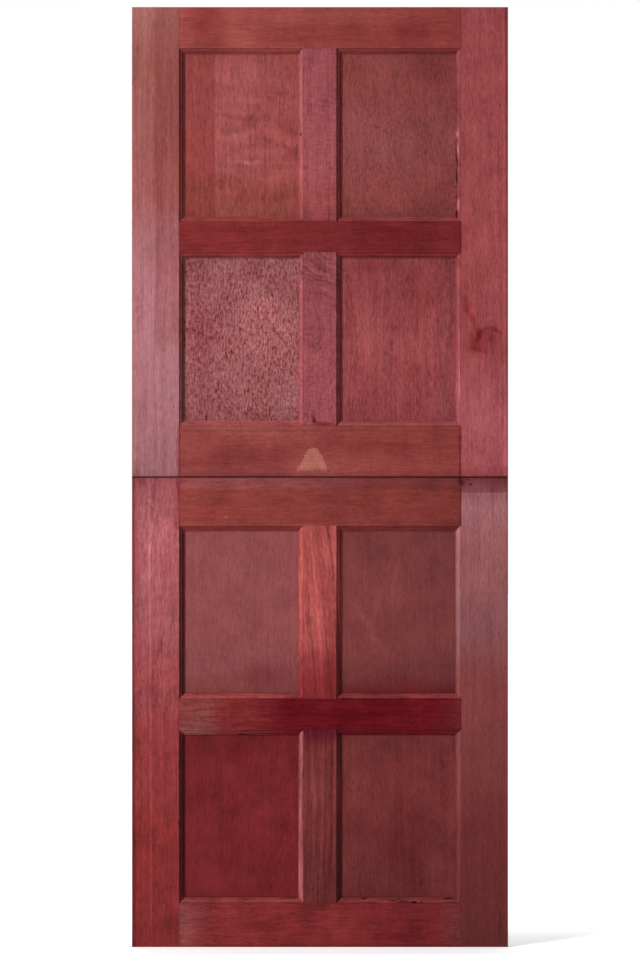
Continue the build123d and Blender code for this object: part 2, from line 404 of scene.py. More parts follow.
class Net:
    """Short hand for one material's nodes."""

    def __init__(self, name):
        self.mat = bpy.data.materials.new(name)
        self.mat.use_nodes = True
        self.tree = self.mat.node_tree
        self.tree.nodes.clear()

    def new(self, kind, **props):
        n = self.tree.nodes.new(kind)
        for k, v in props.items():
            setattr(n, k, v)
        return n

    def put(self, socket, v):
        if isinstance(v, bpy.types.NodeSocket):
            self.tree.links.new(v, socket)
        elif isinstance(v, (tuple, list)) and len(v) == 3 and socket.type == "RGBA":
            socket.default_value = (*v, 1.0)
        else:
            socket.default_value = v

    def math(self, op, a, b=0.0, c=0.0, clamp=False):
        n = self.new("ShaderNodeMath", operation=op, use_clamp=clamp)
        for i, v in enumerate((a, b, c)):
            self.put(n.inputs[i], v)
        return n.outputs[0]

    def vec(self, op, a, b=(0, 0, 0), c=(0, 0, 0)):
        n = self.new("ShaderNodeVectorMath", operation=op)
        for i, v in enumerate((a, b, c)[:len(n.inputs)]):
            if n.inputs[i].enabled:
                self.put(n.inputs[i], v)
        return n.outputs[1] if op == "LENGTH" else n.outputs[0]

    def join(self, x, y, z):
        n = self.new("ShaderNodeCombineXYZ")
        for i, v in enumerate((x, y, z)):
            self.put(n.inputs[i], v)
        return n.outputs[0]

    def split(self, v):
        n = self.new("ShaderNodeSeparateXYZ")
        self.put(n.inputs[0], v)
        return n.outputs

    def noise(self, v, size, shift=(0, 0, 0), detail=2.0, rough=0.5, gain=4.0):
        """Noise with cells of that size (x, y, z in metres), about -1 to 1."""
        p = self.vec("MULTIPLY_ADD", v, tuple(1.0 / s for s in size), shift)
        n = self.new("ShaderNodeTexNoise", noise_dimensions="3D")
        self.put(n.inputs["Vector"], p)
        self.put(n.inputs["Scale"], 1.0)
        self.put(n.inputs["Detail"], detail)
        self.put(n.inputs["Roughness"], rough)
        return self.math("MULTIPLY_ADD", n.outputs[0], gain, -0.5 * gain)

    def step(self, v, a, b, lo=0.0, hi=1.0):
        """Smooth step from lo at a to hi at b."""
        if a > b:
            a, b, lo, hi = b, a, hi, lo
        n = self.new("ShaderNodeMapRange", interpolation_type="SMOOTHSTEP")
        for i, x in enumerate((v, a, b, lo, hi)):
            self.put(n.inputs[i], x)
        return n.outputs[0]

    def mix(self, f, a, b):
        n = self.new("ShaderNodeMix", data_type="RGBA", blend_type="MIX", clamp_factor=True)
        self.put(n.inputs[0], f)
        self.put(n.inputs[6], a)
        self.put(n.inputs[7], b)
        return n.outputs[2]

    def ramp(self, v, stops):
        n = self.new("ShaderNodeValToRGB")
        n.color_ramp.interpolation = "EASE"
        e = n.color_ramp.elements
        while len(e) < len(stops):
            e.new(0.5)
        for el, (p, c) in zip(e, stops):
            el.position = p
        for el, (p, c) in zip(e, stops):
            el.color = (*c, 1.0)
        self.put(n.inputs[0], v)
        return n.outputs[0]


PX = 0.0021615            # metres of the door's face to one pixel of its picture


def tint(name, gain=1.0, shine=0.20):
    """Stain without the light that the satin surface adds to every colour."""
    return tuple(max(0.0012, v * gain - 0.050 * shine) for v in TINT[name])


def wood(node, spec, seed):
    """Stained board, with painted light and shade on its mouldings. The grain runs along the board, and the marks lie
    where they are on its front.
    """
    net = Net(node + "_wood")
    rnd = random.Random(seed)
    rail = "rail" in node
    shine = spec.get("shine", 0.20)
    coord = net.new("ShaderNodeTexCoord").outputs["Object"]
    X, Y, Z = net.split(coord)
    # place on the front, in pixels of the picture: across and down
    py = net.math("MULTIPLY_ADD", Z, -1 / PX, 947.1)
    px = net.math("MULTIPLY_ADD", X, 1 / PX, 321.8)
    px = net.math("MULTIPLY_ADD", py, -0.0037234, px)
    behind = net.math("MAXIMUM", net.math("MULTIPLY_ADD", Y, 50000.0, 200.0), 0.0)
    front = net.step(Y, -0.002, -0.005)
    flat_place = net.join(px, behind, py)
    wob = spec.get("wobble", 2.2)
    w1 = net.noise(coord, (0.016, 0.1, 0.016), (3.1, 0, seed), 3.0, 0.6, 3.0)
    w2 = net.noise(coord, (0.016, 0.1, 0.016), (41.7, 0, seed), 3.0, 0.6, 3.0)
    place = net.vec("ADD", flat_place, net.vec("MULTIPLY", net.join(w1, 0.0, w2), (wob, 0, wob)))
    wx, _, wz = net.split(place)

    # across, depth, along
    u, s = (Z, X) if rail else (X, Z)
    G = net.join(u, Y, s)
    off = (rnd.uniform(0, 60), rnd.uniform(0, 60), rnd.uniform(0, 60))
    lean = spec.get("lean", 0.0)
    wander = net.noise(G, (0.12, 0.3, 0.30), off, 2.0, 0.5, 4.0)
    uu = net.math("MULTIPLY_ADD", wander, spec.get("wander", 0.004), net.math("MULTIPLY_ADD", s, lean, u))
    if "cathedral" in spec:
        # rings cut nearly flat: nested arches about a line up the board
        cu, cs, depth, tilt = spec["cathedral"]
        du = net.math("SUBTRACT", uu, cu)
        dd = net.math("MULTIPLY_ADD", net.math("SUBTRACT", s, cs), tilt, depth)
        uu = net.math("SQRT", net.math("ADD", net.math("MULTIPLY", du, du), net.math("MULTIPLY", dd, dd)))
    Q = net.join(uu, Y, s)
    g = dict(band=0.20, streak=0.25, fine=0.25, fibre=0.20, cloud=0.12, ripple=0.0, dash=0.0, net=0.0, mottle=0.12)
    g.update(spec.get("grain", {}))
    T = net.math("MULTIPLY", net.noise(Q, (spec.get("band_width", 0.013), 0.03, 0.45), off, 2.0, 0.6), g["band"])
    streak = net.noise(Q, (0.0064, 0.02, 0.17), off, 2.0, 0.6)
    T = net.math("MULTIPLY_ADD", streak, g["streak"], T)
    fine = net.noise(Q, (0.0034, 0.012, spec.get("fleck", 0.035 if rail else 0.018)), off, 2.0, 0.65)
    T = net.math("MULTIPLY_ADD", fine, g["fine"], T)
    fibre = net.noise(Q, (0.0008, 0.003, 0.016), off, 2.0, 0.7)
    T = net.math("MULTIPLY_ADD", fibre, g["fibre"], T)
    cloud = net.noise(coord, (0.055, 0.2, 0.075), off, 3.0, 0.55)
    T = net.math("MULTIPLY_ADD", cloud, g["cloud"], T)
    mottle = net.noise(coord, (0.0066, 0.02, 0.0066), (off[2], off[0], off[1]), 3.0, 0.65)
    T = net.math("MULTIPLY_ADD", mottle, g["mottle"], T)
    relief = net.math("MULTIPLY_ADD", fine, 0.5, fibre)
    if g["dash"]:
        wd, ld = spec.get("dash_size", (0.0026, 0.011))
        d = net.noise(G, (wd, 0.01, ld), off, 1.0, 0.5, 4.0)
        dash = net.step(d, spec.get("dash_at", 0.15), spec.get("dash_at", 0.15) + spec.get("dash_soft", 0.9))
        light = net.step(d, -0.25, -1.2)
        T = net.math("MULTIPLY_ADD", dash, -g["dash"], T)
        T = net.math("MULTIPLY_ADD", light, g["dash"] * 0.45, T)
        relief = net.math("MULTIPLY_ADD", dash, -1.6, relief)
    if g["net"]:
        # short rays across the grain, in slightly bent rows
        row = net.math("MULTIPLY_ADD", net.noise(G, (0.03, 0.2, 0.03), off, 1.0), 0.0030, s)
        along = net.noise(net.join(u, Y, row), (0.016, 0.01, 0.0040), off, 2.0, 0.6, 4.0)
        T = net.math("MULTIPLY_ADD", along, g["net"], T)
    if g["ripple"]:
        # wavy figure across the grain
        wav, amp = spec.get("ripple_size", (0.011, 0.008))
        bend = net.noise(G, (0.05, 0.3, 0.06), off, 2.0, 0.6)
        rs = net.math("MULTIPLY_ADD", bend, amp, net.math("MULTIPLY_ADD", u, spec.get("ripple_lean", 0.0), s))
        rip = net.noise(net.join(u, Y, rs), (spec.get("ripple_width", 0.06), 0.1, wav), off, 2.0, 0.5)
        if "ripple_zone" in spec:
            za, zb, zc, zd = spec["ripple_zone"]
            rip = net.math("MULTIPLY", rip, net.math("MULTIPLY", net.step(wz, za, zb), net.step(wz, zd, zc)))
            if "ripple_x" in spec:
                xa, xb = spec["ripple_x"]
                rip = net.math("MULTIPLY", rip, net.step(px, xa, xb))
        T = net.math("MULTIPLY_ADD", rip, g["ripple"], T)

    # stain along the board
    stops = spec["along"]
    lo, hi = stops[0][0], stops[-1][0]
    pos = net.math("MULTIPLY_ADD", cloud, (hi - lo) * 0.012, px if rail else py)
    f = net.new("ShaderNodeMapRange")
    for i, v in enumerate((pos, lo, hi, 0.0, 1.0)):
        net.put(f.inputs[i], v)
    base = net.ramp(f.outputs[0], [((p - lo) / (hi - lo), tint(c, k, shine)) for p, c, k in stops])
    hue = net.noise(coord, (0.035, 0.2, 0.09), (off[1], off[2], off[0]), 2.0, 0.5)
    k = spec.get("contrast", 1.0)
    swing = tuple(v * k for v in spec.get("swing", (0.52, 0.66, 0.64)))
    gain = net.vec("MULTIPLY_ADD", net.join(T, T, T), swing, (1, 1, 1))
    gain = net.vec("MULTIPLY_ADD", net.join(hue, hue, hue), spec.get("hue", (0.02, 0.07, 0.05)), gain)
    col = net.vec("MULTIPLY", base, gain)

    def lay(col, marks):
        for m in marks:
            kind, *a = m
            if kind in ("spot", "glow"):
                cx, cy, rx, ry, rot, hard, c, k = a
                n = net.new("ShaderNodeMapping", vector_type="TEXTURE")
                net.put(n.inputs["Vector"], place if kind == "spot" else flat_place)
                n.inputs["Location"].default_value = (cx, 0, cy)
                n.inputs["Rotation"].default_value = (0, -math.radians(rot), 0)
                n.inputs["Scale"].default_value = (rx, 1, ry)
                r = net.vec("LENGTH", n.outputs[0])
                f = net.step(r, 1.0, hard, 0.0, k)
            elif kind == "peak":
                # below a ridge that falls to both sides of its top
                cx, cy, flat, left, right, end_x, base_y, soft, c, k = a
                dx = net.math("SUBTRACT", wx, cx)
                dx = net.math("SUBTRACT", dx, net.math("MINIMUM", net.math("MAXIMUM", dx, -flat), flat))
                ridge = net.math("MAXIMUM", net.math("MULTIPLY", dx, right), net.math("MULTIPLY", dx, -left))
                under = net.math("SUBTRACT", wz, net.math("ADD", ridge, cy))
                f = net.math("MULTIPLY", net.step(under, -soft, soft), net.step(wz, base_y + 2.5, base_y - 2.5))
                f = net.math("MULTIPLY", f, net.step(wx, end_x + 1.2, end_x - 1.2))
                f = net.math("MULTIPLY", net.math("MULTIPLY", f, front), k)
            elif kind == "patch":
                x0, x1, y0, y1, sx, sy, c, k = a
                f = net.math("MULTIPLY", net.step(wx, x0 - sx, x0 + sx), net.step(wx, x1 + sx, x1 - sx))
                f = net.math("MULTIPLY", f, net.math("MULTIPLY", net.step(wz, y0 - sy, y0 + sy), net.step(wz, y1 + sy, y1 - sy)))
                f = net.math("MULTIPLY", net.math("MULTIPLY", f, front), k)
            elif kind == "across":
                # strip between two places across the picture
                x0, x1, soft, c, k = a
                src = wx if soft > 1.5 else px
                f = net.math("MULTIPLY", net.step(src, x0 - soft, x0 + soft), net.step(src, x1 + soft, x1 - soft))
                f = net.math("MULTIPLY", net.math("MULTIPLY", f, front), k)
            elif kind == "down":
                y0, y1, soft, c, k = a
                src = wz if soft > 1.5 else py
                f = net.math("MULTIPLY", net.step(src, y0 - soft, y0 + soft), net.step(src, y1 + soft, y1 - soft))
                f = net.math("MULTIPLY", net.math("MULTIPLY", f, front), k)
            if isinstance(c, str):
                col = net.mix(f, col, net.vec("MULTIPLY", gain, tint(c, 1.0, shine)))
            else:
                col = net.mix(f, col, net.vec("MULTIPLY", col, c))
        return col

    # bands and marks of this board
    col = lay(col, spec.get("marks", ()))

    # moulded edges: painted shade in the quirk and dark joints at the rails' ends; the rounds take their stain, and on
    # stiles and muntins a painted highlight on the side that faces the light and painted shade on the side away from it
    if "panel" not in node:
        if rail:
            name, a, b = [r for r in LEAVES[node.split("_")[0]] if node.endswith(r[0])][0]
            top = net.math("MULTIPLY_ADD", Z, 1000.0, -b)
            low = net.math("MULTIPLY_ADD", Z, -1000.0, a)
            if name in ("top_rail",) or node == "upper_top_rail":
                q, side = low, [(low, spec.get("low_edge"))]
            elif node == "lower_bottom_rail":
                q, side = top, [(top, spec.get("top_edge"))]
            elif node == "lower_meeting_rail":
                q, side = low, [(low, spec.get("low_edge"))]
            elif node == "upper_meeting_rail":
                q, side = top, [(top, spec.get("top_edge"))]
            else:
                q = net.math("MAXIMUM", top, low)
                side = [(top, spec.get("top_edge")), (low, spec.get("low_edge"))]
            end = net.math("MULTIPLY_ADD", net.math("ABSOLUTE", X), 1000.0, -304.5)
            joint = net.math("MULTIPLY", net.step(end, -1.6, -0.1), spec.get("joint", 0.45))
        elif "muntin" in node:
            left = net.math("MULTIPLY_ADD", X, -1000.0, -MUN)
            right = net.math("MULTIPLY_ADD", X, 1000.0, -MUN)
            q = net.math("MAXIMUM", left, right)
            side = [(left, spec.get("left_edge")), (right, spec.get("right_edge"))]
            joint = 0.0
        else:
            k = 1000.0 if "left" in node else -1000.0
            q = net.math("MULTIPLY_ADD", X, k, STILE_IN)
            side = [(q, spec.get("edge"))]
            joint = 0.0
        # edge tints: on stiles and muntins a painted highlight on rounds facing the light, painted shade on rounds
        # facing away
        for qq, c in side:
            if not c:
                continue
            f = net.math("MULTIPLY", net.step(qq, 0.2, 1.6), front)
            if isinstance(c[0], str):
                f = net.math("MULTIPLY", f, c[2])
                col = net.mix(f, col, net.vec("MULTIPLY", gain, tint(c[0], c[1], shine)))
            else:
                col = net.mix(f, col, net.vec("MULTIPLY", col, c))
        if rail and q is not low:
            # a rail's upper quirk faces the light and gets no painted shade: it moves to the lower quirk, and on the
            # bottom rail and the upper meeting rail to a thin line across the face 10 to 12 mm below the upper edge
            q = low if node != "lower_bottom_rail" and node != "upper_meeting_rail" else net.math("SUBTRACT", -10.0, top)
        # painted shade in the quirk, the narrow step at the face edge of each moulding
        quirk = net.math("MULTIPLY", net.step(q, -0.3, 0.5), net.step(q, 2.4, 1.2))
        quirk = net.math("MULTIPLY", net.math("MULTIPLY", quirk, front), spec.get("quirk", 0.5))
        quirk_shade_and_dark_joint = net.math("MAXIMUM", quirk, joint) if joint else quirk
        col = net.mix(quirk_shade_and_dark_joint, col, net.vec("MULTIPLY", col, (0.42, 0.28, 0.28)))
    else:
        lft = "left" in node
        xi, xo = (-293.5, -46.5) if lft else (46.5, 293.5)
        ex = net.math("MINIMUM", net.math("MULTIPLY_ADD", X, 1000.0, -xi), net.math("MULTIPLY_ADD", X, -1000.0, xo))
        i = 0 if "bottom" in node else 1
        rr = LEAVES[node.split("_")[0]]
        z0, z1 = rr[i][2] + 11.0, rr[i + 1][1] - 11.0
        ez = net.math("MINIMUM", net.math("MULTIPLY_ADD", Z, 1000.0, -z0), net.math("MULTIPLY_ADD", Z, -1000.0, z1))
        ed = net.math("MINIMUM", ex, ez)
        # panel face darker within about 5 mm of its sight edge, in the corner against the moulding: painted shade
        rim = net.step(net.math("MULTIPLY_ADD", w1, 1.2, ed), 5.0, 0.5, 0.0, spec.get("rim", 0.12))
        col = net.mix(rim, col, net.vec("MULTIPLY", col, (0.72, 0.60, 0.60)))

    # wear, with painted light: darker rounds on the side away from the light, and quirk lines lightened against their
    # shade
    col = lay(col, spec.get("wear_and_painted_light", ()))
    if "stile" in node or "meeting" in node:
        # darker within a few millimetres of the line where the two leaves close on each other: painted shade in the
        # groove between them
        gap = net.math("ABSOLUTE", net.math("MULTIPLY_ADD", Z, 1000.0, -MEET))
        f = net.math("MULTIPLY", net.step(gap, 3.2, 1.6), front)
        col = net.mix(f, col, net.vec("MULTIPLY", col, (0.36, 0.22, 0.24)))
    rough = net.math("MULTIPLY_ADD", cloud, 0.04, net.math("MULTIPLY_ADD", fibre, 0.03, spec.get("rough", 0.48)))
    bump = net.new("ShaderNodeBump")
    bump.inputs["Strength"].default_value = spec.get("bump", 0.35)
    bump.inputs["Distance"].default_value = 0.00025
    net.put(bump.inputs["Height"], relief)
    b = net.new("ShaderNodeBsdfPrincipled")
    b.inputs["Specular IOR Level"].default_value = shine
    net.put(b.inputs["Base Color"], col)
    net.put(b.inputs["Roughness"], rough)
    net.put(b.inputs["Normal"], bump.outputs[0])
    out = net.new("ShaderNodeOutputMaterial")
    net.tree.links.new(b.outputs[0], out.inputs[0])
    return net.mat


def beech():
    """Bare dowel wood: straight grain and small dark flecks."""
    net = Net("beech_dowel")
    coord = net.new("ShaderNodeTexCoord").outputs["Object"]
    grain = net.noise(coord, (0.02, 0.0012, 0.0012), (5, 3, 1), 3.0, 0.6)
    fleck = net.step(net.noise(coord, (0.004, 0.0005, 0.0005), (2, 8, 1), 1.0, 0.5), 0.5, 1.1)
    col = net.ramp(net.math("MULTIPLY_ADD", grain, 0.25, 0.5), [(0.0, lin((170, 122, 78))), (0.55, lin((205, 163, 116))), (1.0, lin((222, 186, 142)))])
    col = net.mix(net.math("MULTIPLY", fleck, 0.5), col, lin((120, 76, 44)))
    bump = net.new("ShaderNodeBump")
    bump.inputs["Strength"].default_value = 0.3
    bump.inputs["Distance"].default_value = 0.0002
    net.put(bump.inputs["Height"], grain)
    b = net.new("ShaderNodeBsdfPrincipled")
    net.put(b.inputs["Base Color"], col)
    net.put(b.inputs["Roughness"], net.math("MULTIPLY_ADD", grain, 0.05, 0.6))
    net.put(b.inputs["Normal"], bump.outputs[0])
    out = net.new("ShaderNodeOutputMaterial")
    net.tree.links.new(b.outputs[0], out.inputs[0])
    return net.mat


LIT_ROUND_HIGHLIGHT = (1.13, 1.20, 1.18)       # painted highlight on the rounds that face the light
# stronger painted highlight for rounds that face the light
LIT_ROUND_HIGHLIGHT_STRONG = (1.60, 2.20, 2.10)
SHADED_ROUND_SHADE = (0.70, 0.52, 0.48)       # painted shade on the rounds on the dark side, away from the light
# stronger painted shade for rounds on the dark side
SHADED_ROUND_SHADE_STRONG = (0.46, 0.28, 0.28)

SPECS = {
    "upper_left_stile": dict(
        along=[(7, "dun", 0.95), (60, "clay", 0.90), (130, "clay", 0.94), (190, "clay", 1.02), (240, "haze", 0.93), (290, "haze", 1.04),
               (345, "haze", 0.99), (400, "haze", 0.94), (440, "haze", 0.90), (474, "haze", 0.80)],
        # edge tint: painted shade on the round that faces away from the light
        grain=dict(band=0.16, streak=0.20, fine=0.30, fibre=0.26, cloud=0.16), edge=SHADED_ROUND_SHADE, contrast=1.25,
        # painted shade on that round beside the upper leaf's lower left panel
        wear_and_painted_light=[("patch", 181.2, 187, 262, 420, 0.7, 3, (0.56, 0.50, 0.52), 0.9)],
        marks=[("patch", 150, 186, 210, 275, 8, 14, (0.94, 0.85, 0.84), 0.9), ("patch", 126, 152, 214, 268, 8, 12, (0.99, 0.94, 0.92), 0.9), ("patch", 156, 186, -20, 232, 2.6, 22, (0.80, 0.66, 0.64), 0.95), ("patch", 156, 186, 232, 345, 3.0, 16, (0.84, 0.70, 0.66), 0.85),
               ("glow", 140, 70, 14, 70, 0, 0.1, (0.94, 1.04, 0.96), 0.8), ("patch", 126, 160, 58, 90, 4, 8, (0.92, 0.90, 0.84), 0.8),
               ("across", 128, 133.6, 0.8, (0.86, 0.8, 0.8), 0.7), ("down", 469.5, 480, 1.4, (0.88, 0.88, 0.84), 0.8),
               ("glow", 176.6, 250, 1.0, 240, 0, 0.6, (1.12, 1.1, 1.1), 0.7), ("patch", 177.0, 184, 426, 480, 0.7, 2.0, (0.80, 0.42, 0.50), 0.85),
               ("spot", 174, 406, 1.5, 3.4, 0, 0.3, (0.6, 0.38, 0.42), 0.7)]),
    "upper_right_stile": dict(
        along=[(7, "garnet", 0.90), (60, "garnet", 0.99), (200, "garnet", 1.05), (285, "garnet", 1.07), (345, "garnet", 1.02),
               (400, "rose", 1.07), (460, "rose", 1.08), (476, "garnet", 0.95)],
        grain=dict(band=0.14, streak=0.17, fine=0.34, fibre=0.24, cloud=0.26, mottle=0.18), edge=(0.98, 0.97, 0.97), lean=0.012, contrast=1.3,
        wear_and_painted_light=[("patch", 455.6, 461.2, 84, 125, 0.7, 8, (0.66, 0.48, 0.50), 0.95), ("patch", 455.6, 461.2, 56, 84, 0.7, 8, (0.84, 0.74, 0.76), 0.9),
              ("patch", 455.6, 461.2, 158, 172, 0.7, 2, (0.62, 0.44, 0.48), 0.95), ("patch", 457.8, 461.2, 172, 186, 0.7, 1.5, (0.64, 0.46, 0.50), 0.95),
              ("patch", 455.6, 461.2, 186, 199, 0.7, 2, (0.66, 0.48, 0.50), 0.95), ("patch", 456.2, 460.4, 210, 219, 0.7, 1.5, (0.66, 0.46, 0.50), 0.95),
              ("patch", 460.0, 476, 223, 250, 1.6, 8, (0.90, 0.74, 0.78), 0.9)],
        marks=[("across", 504.0, 506.4, 0.8, (1.22, 1.26, 1.26), 0.8), ("across", 506.8, 512, 0.5, (0.66, 0.5, 0.55), 0.9),
               ("spot", 501.7, 105, 1.0, 3.4, 0, 0.3, (0.55, 0.4, 0.45), 0.9),
               ("spot", 482, 339, 24, 20, -15, 0.1, (0.86, 0.60, 0.63), 0.95), ("spot", 478, 352, 18, 10, 10, 0.1, (0.90, 0.66, 0.70), 0.8),
               ("spot", 479.8, 335.0, 5.4, 10.5, 6, 0.15, (0.64, 0.22, 0.28), 0.98), ("spot", 480.6, 333.5, 3.0, 6.0, 10, 0.15, (0.72, 0.34, 0.40), 0.95),
               ("spot", 475.5, 343, 7.4, 11.0, 12, 0.15, (0.80, 0.40, 0.47), 0.92),
               ("spot", 472, 318, 4.8, 19, -30, 0.15, (0.83, 0.48, 0.53), 0.95),
               ("spot", 467, 304, 6.0, 12.0, -10, 0.15, (0.82, 0.48, 0.54), 0.9),
               ("spot", 477, 349, 9.0, 3.6, 8, 0.15, (0.78, 0.42, 0.48), 0.9),
               ("spot", 497.5, 331, 10.0, 3.4, 38, 0.15, (0.68, 0.30, 0.38), 0.98),
               ("spot", 491.5, 338.5, 3.6, 6.6, 15, 0.15, (0.70, 0.32, 0.40), 0.95),
               ("spot", 487, 328, 9.0, 4.0, -10, 0.15, (0.88, 0.60, 0.64), 0.85),
               ("spot", 491, 318, 5.0, 3.4, -15, 0.1, (1.22, 1.36, 1.3), 0.9),
               ("spot", 489, 337, 2.6, 3.4, 30, 0.1, (1.24, 1.6, 1.4), 0.9),
               ("glow", 495, 310, 13, 14, 0, 0.1, (1.07, 1.18, 1.16), 0.85), ("spot", 492, 285, 14, 12, 0, 0.1, (1.05, 1.14, 1.12), 0.8),
               ("glow", 459.5, 263, 2.6, 8.0, 0, 0.3, (0.92, 0.40, 0.62), 0.9), ("glow", 461, 235, 1.6, 12, 0, 0.3, (0.95, 0.5, 0.65), 0.7),
               ("glow", 459.9, 382, 0.9, 26, 0, 0.5, (1.5, 1.8, 1.8), 0.8), ("glow", 459.6, 345, 0.8, 30, 0, 0.5, (1.25, 1.4, 1.4), 0.7),
               ("patch", 455, 461.9, 428, 480, 0.7, 2.0, (0.82, 0.34, 0.44), 0.85), ("spot", 478, 420, 16, 30, 0, 0.1, (1.03, 1.08, 1.1), 0.8),
               # torn lip: bare slivers, painted shade in the torn hollows between them, and darker marks further up the
               # round
               ("glow", 458.6, 134.5, 1.2, 5.5, 0, 0.4, "torn", 0.95), ("glow", 459.3, 149.5, 1.2, 5.5, 0, 0.4, "torn", 0.95),
               ("glow", 457.0, 182, 1.1, 4.0, 0, 0.4, "torn", 0.75), ("glow", 459.4, 206, 1.2, 7.5, 0, 0.4, "torn", 0.8),
               ("glow", 459.0, 120, 0.8, 6.0, 0, 0.4, "torn", 0.45), ("glow", 459.6, 170, 0.8, 8.0, 0, 0.4, "torn", 0.4),
               ("glow", 456.8, 142, 1.1, 5.5, 0, 0.3, (0.4, 0.12, 0.15), 0.95), ("glow", 458.0, 161, 1.5, 8.0, -4, 0.3, (0.45, 0.2, 0.24), 0.95),
               ("glow", 457.4, 215, 2.0, 4.5, 0, 0.3, (0.45, 0.08, 0.12), 0.95), ("glow", 457.0, 192, 1.3, 9, 0, 0.3, (0.62, 0.36, 0.40), 0.85),
               ("glow", 456.6, 114, 1.1, 4.5, 0, 0.3, (0.6, 0.35, 0.36), 0.9), ("glow", 456.8, 98, 1.3, 14, 0, 0.3, (0.74, 0.52, 0.54), 0.85),
               ("glow", 456.6, 70, 1.1, 10, 0, 0.3, (0.8, 0.6, 0.6), 0.8)]),
    "upper_top_rail": dict(
        along=[(176, "brick", 1.04), (205, "rust", 1.0), (245, "brick", 1.02), (330, "brick", 0.93), (458, "rust", 0.99)],
        grain=dict(band=0.12, streak=0.12, fine=0.26, fibre=0.2, cloud=0.28, mottle=0.20), band_width=0.02, low_edge=(0.84, 0.74, 0.77), joint=0.2, contrast=1.25, quirk=0.0,
        # quirk line lightened against its shade: painted light
        wear_and_painted_light=[("down", 47.5, 48.9, 0.4, (1.30, 1.32, 1.32), 0.8)],
        marks=[("patch", 320, 462, 47.2, 56, 18, 0.8, (0.84, 0.72, 0.74), 0.9), ("spot", 205, 24, 16, 22, 10, 0.1, (0.92, 0.66, 0.80), 0.85), ("patch", 262, 425, 26, 46, 26, 5, (0.86, 0.68, 0.70), 0.9),
               ("spot", 182, 22, 5, 18, 0, 0.2, (1.10, 1.15, 1.1), 0.7), ("spot", 420, 30, 36, 8, 3, 0.1, (0.92, 0.76, 0.80), 0.8),
               ("spot", 345, 42, 50, 2.4, 1, 0.2, (1.02, 1.12, 1.06), 0.7), ("patch", 182, 255, 37, 46, 8, 3, (1.03, 1.12, 1.08), 0.8)]),
    "upper_middle_rail": dict(
        along=[(178, "oxblood", 0.96), (240, "oxblood", 0.95), (320, "oxblood", 0.84), (400, "crimson", 0.95), (460, "crimson", 1.02)],
        grain=dict(band=0.18, streak=0.16, fine=0.36, fibre=0.2, cloud=0.26, mottle=0.24), band_width=0.02, low_edge=(1.3, 1.85, 1.85),
        top_edge=("brick", 0.98, 0.88), contrast=1.3, shine=0.14, quirk=0.15,
        # the first mark lightens the quirk line against its shade: painted light
        wear_and_painted_light=[("down", 251.5, 252.9, 0.4, (1.36, 1.36, 1.36), 0.85), ("patch", 330, 470, 252.5, 258, 12, 0.8, (0.92, 0.84, 0.86), 0.9)],
        marks=[("spot", 390, 230, 44, 6, 2, 0.1, (0.74, 0.52, 0.58), 0.8), ("spot", 225, 240, 34, 4, -2, 0.2, (1.14, 1.24, 1.18), 0.7),
               ("spot", 340, 243, 50, 4, 1, 0.2, (1.10, 1.2, 1.16), 0.7), ("spot", 250, 230, 46, 5, 0, 0.2, (0.84, 0.80, 0.82), 0.8),
               ("spot", 435, 244, 30, 5, 0, 0.2, (1.02, 1.6, 1.4), 0.85), ("glow", 250, 221.4, 72, 0.9, 0, 0.7, (1.15, 1.3, 1.3), 0.6)]),
    "upper_meeting_rail": dict(
        along=[(176, "brick", 0.90), (260, "brick", 0.96), (330, "brick", 0.90), (400, "rust", 1.02), (462, "rust", 0.98)],
        grain=dict(band=0.12, streak=0.12, fine=0.28, fibre=0.25, cloud=0.22, mottle=0.24), band_width=0.02, top_edge=("dusk", 1.46, 0.86), joint=0.75, contrast=1.2,
        wear_and_painted_light=[("patch", 330, 474, 410, 424.4, 12, 0.8, (0.86, 0.72, 0.74), 0.95), ("patch", 170, 330, 422.4, 424.6, 12, 0.5, (0.88, 0.66, 0.68), 0.9)],
        marks=[("spot", 262, 431, 70, 9, 2, 0.3, (1.10, 1.26, 1.26), 0.9), ("spot", 400, 432, 62, 7, 0, 0.3, (1.05, 1.16, 1.22), 0.8),
               ("patch", 176, 330, 424, 427.5, 10, 1.6, (1.08, 1.2, 1.3), 0.8),
               ("patch", 214, 287, 446, 480, 12, 4, (0.74, 0.60, 0.64), 0.95), ("patch", 176, 216, 458, 480, 8, 4, (0.86, 0.74, 0.82), 0.8),
               ("spot", 385, 445, 66, 6.5, 1, 0.2, (0.86, 0.70, 0.72), 0.9), ("peak", 462, 449, 4, 0.065, 0.2, 480, 482, 1.6, (1.10, 1.20, 1.24), 0.9),
               ("spot", 333, 440, 26, 9, 0, 0.2, (0.90, 0.78, 0.76), 0.8), ("spot", 236, 464, 6, 12, 0, 0.2, (1.12, 1.2, 1.2), 0.6),
               ("peak", 313.8, 448.8, 4.6, 1.75, 2.2, 332.0, 471, 1.6, "tan", 0.78), ("spot", 335, 467, 12, 4, 0, 0.2, (1.03, 1.14, 1.14), 0.9), ("spot", 318, 462, 9, 7, 0, 0.3, (1.04, 1.06, 1.08), 0.6), ("spot", 306, 468, 9, 5, 0, 0.2, (1.0, 0.92, 1.0), 0.8),
               ("glow", 313, 471.5, 24, 3.0, 0, 0.3, (0.84, 0.72, 0.74), 0.8),
               ("down", 472, 480, 1.2, (0.84, 0.84, 0.86), 0.8), ("patch", 459.3, 470, 426, 480, 0.9, 2, (0.78, 0.22, 0.32), 0.9),
               ("patch", 170, 180.4, 426, 480, 0.8, 2, (0.75, 0.36, 0.42), 0.85), ("glow", 240, 424.2, 62, 0.9, 0, 0.5, (0.86, 0.50, 0.54), 0.85)]),
    "upper_bottom_muntin": dict(
        along=[(250, "rose", 0.70), (280, "rose", 0.77), (340, "rose", 0.85), (400, "rose", 0.92), (426, "rose", 0.86)],
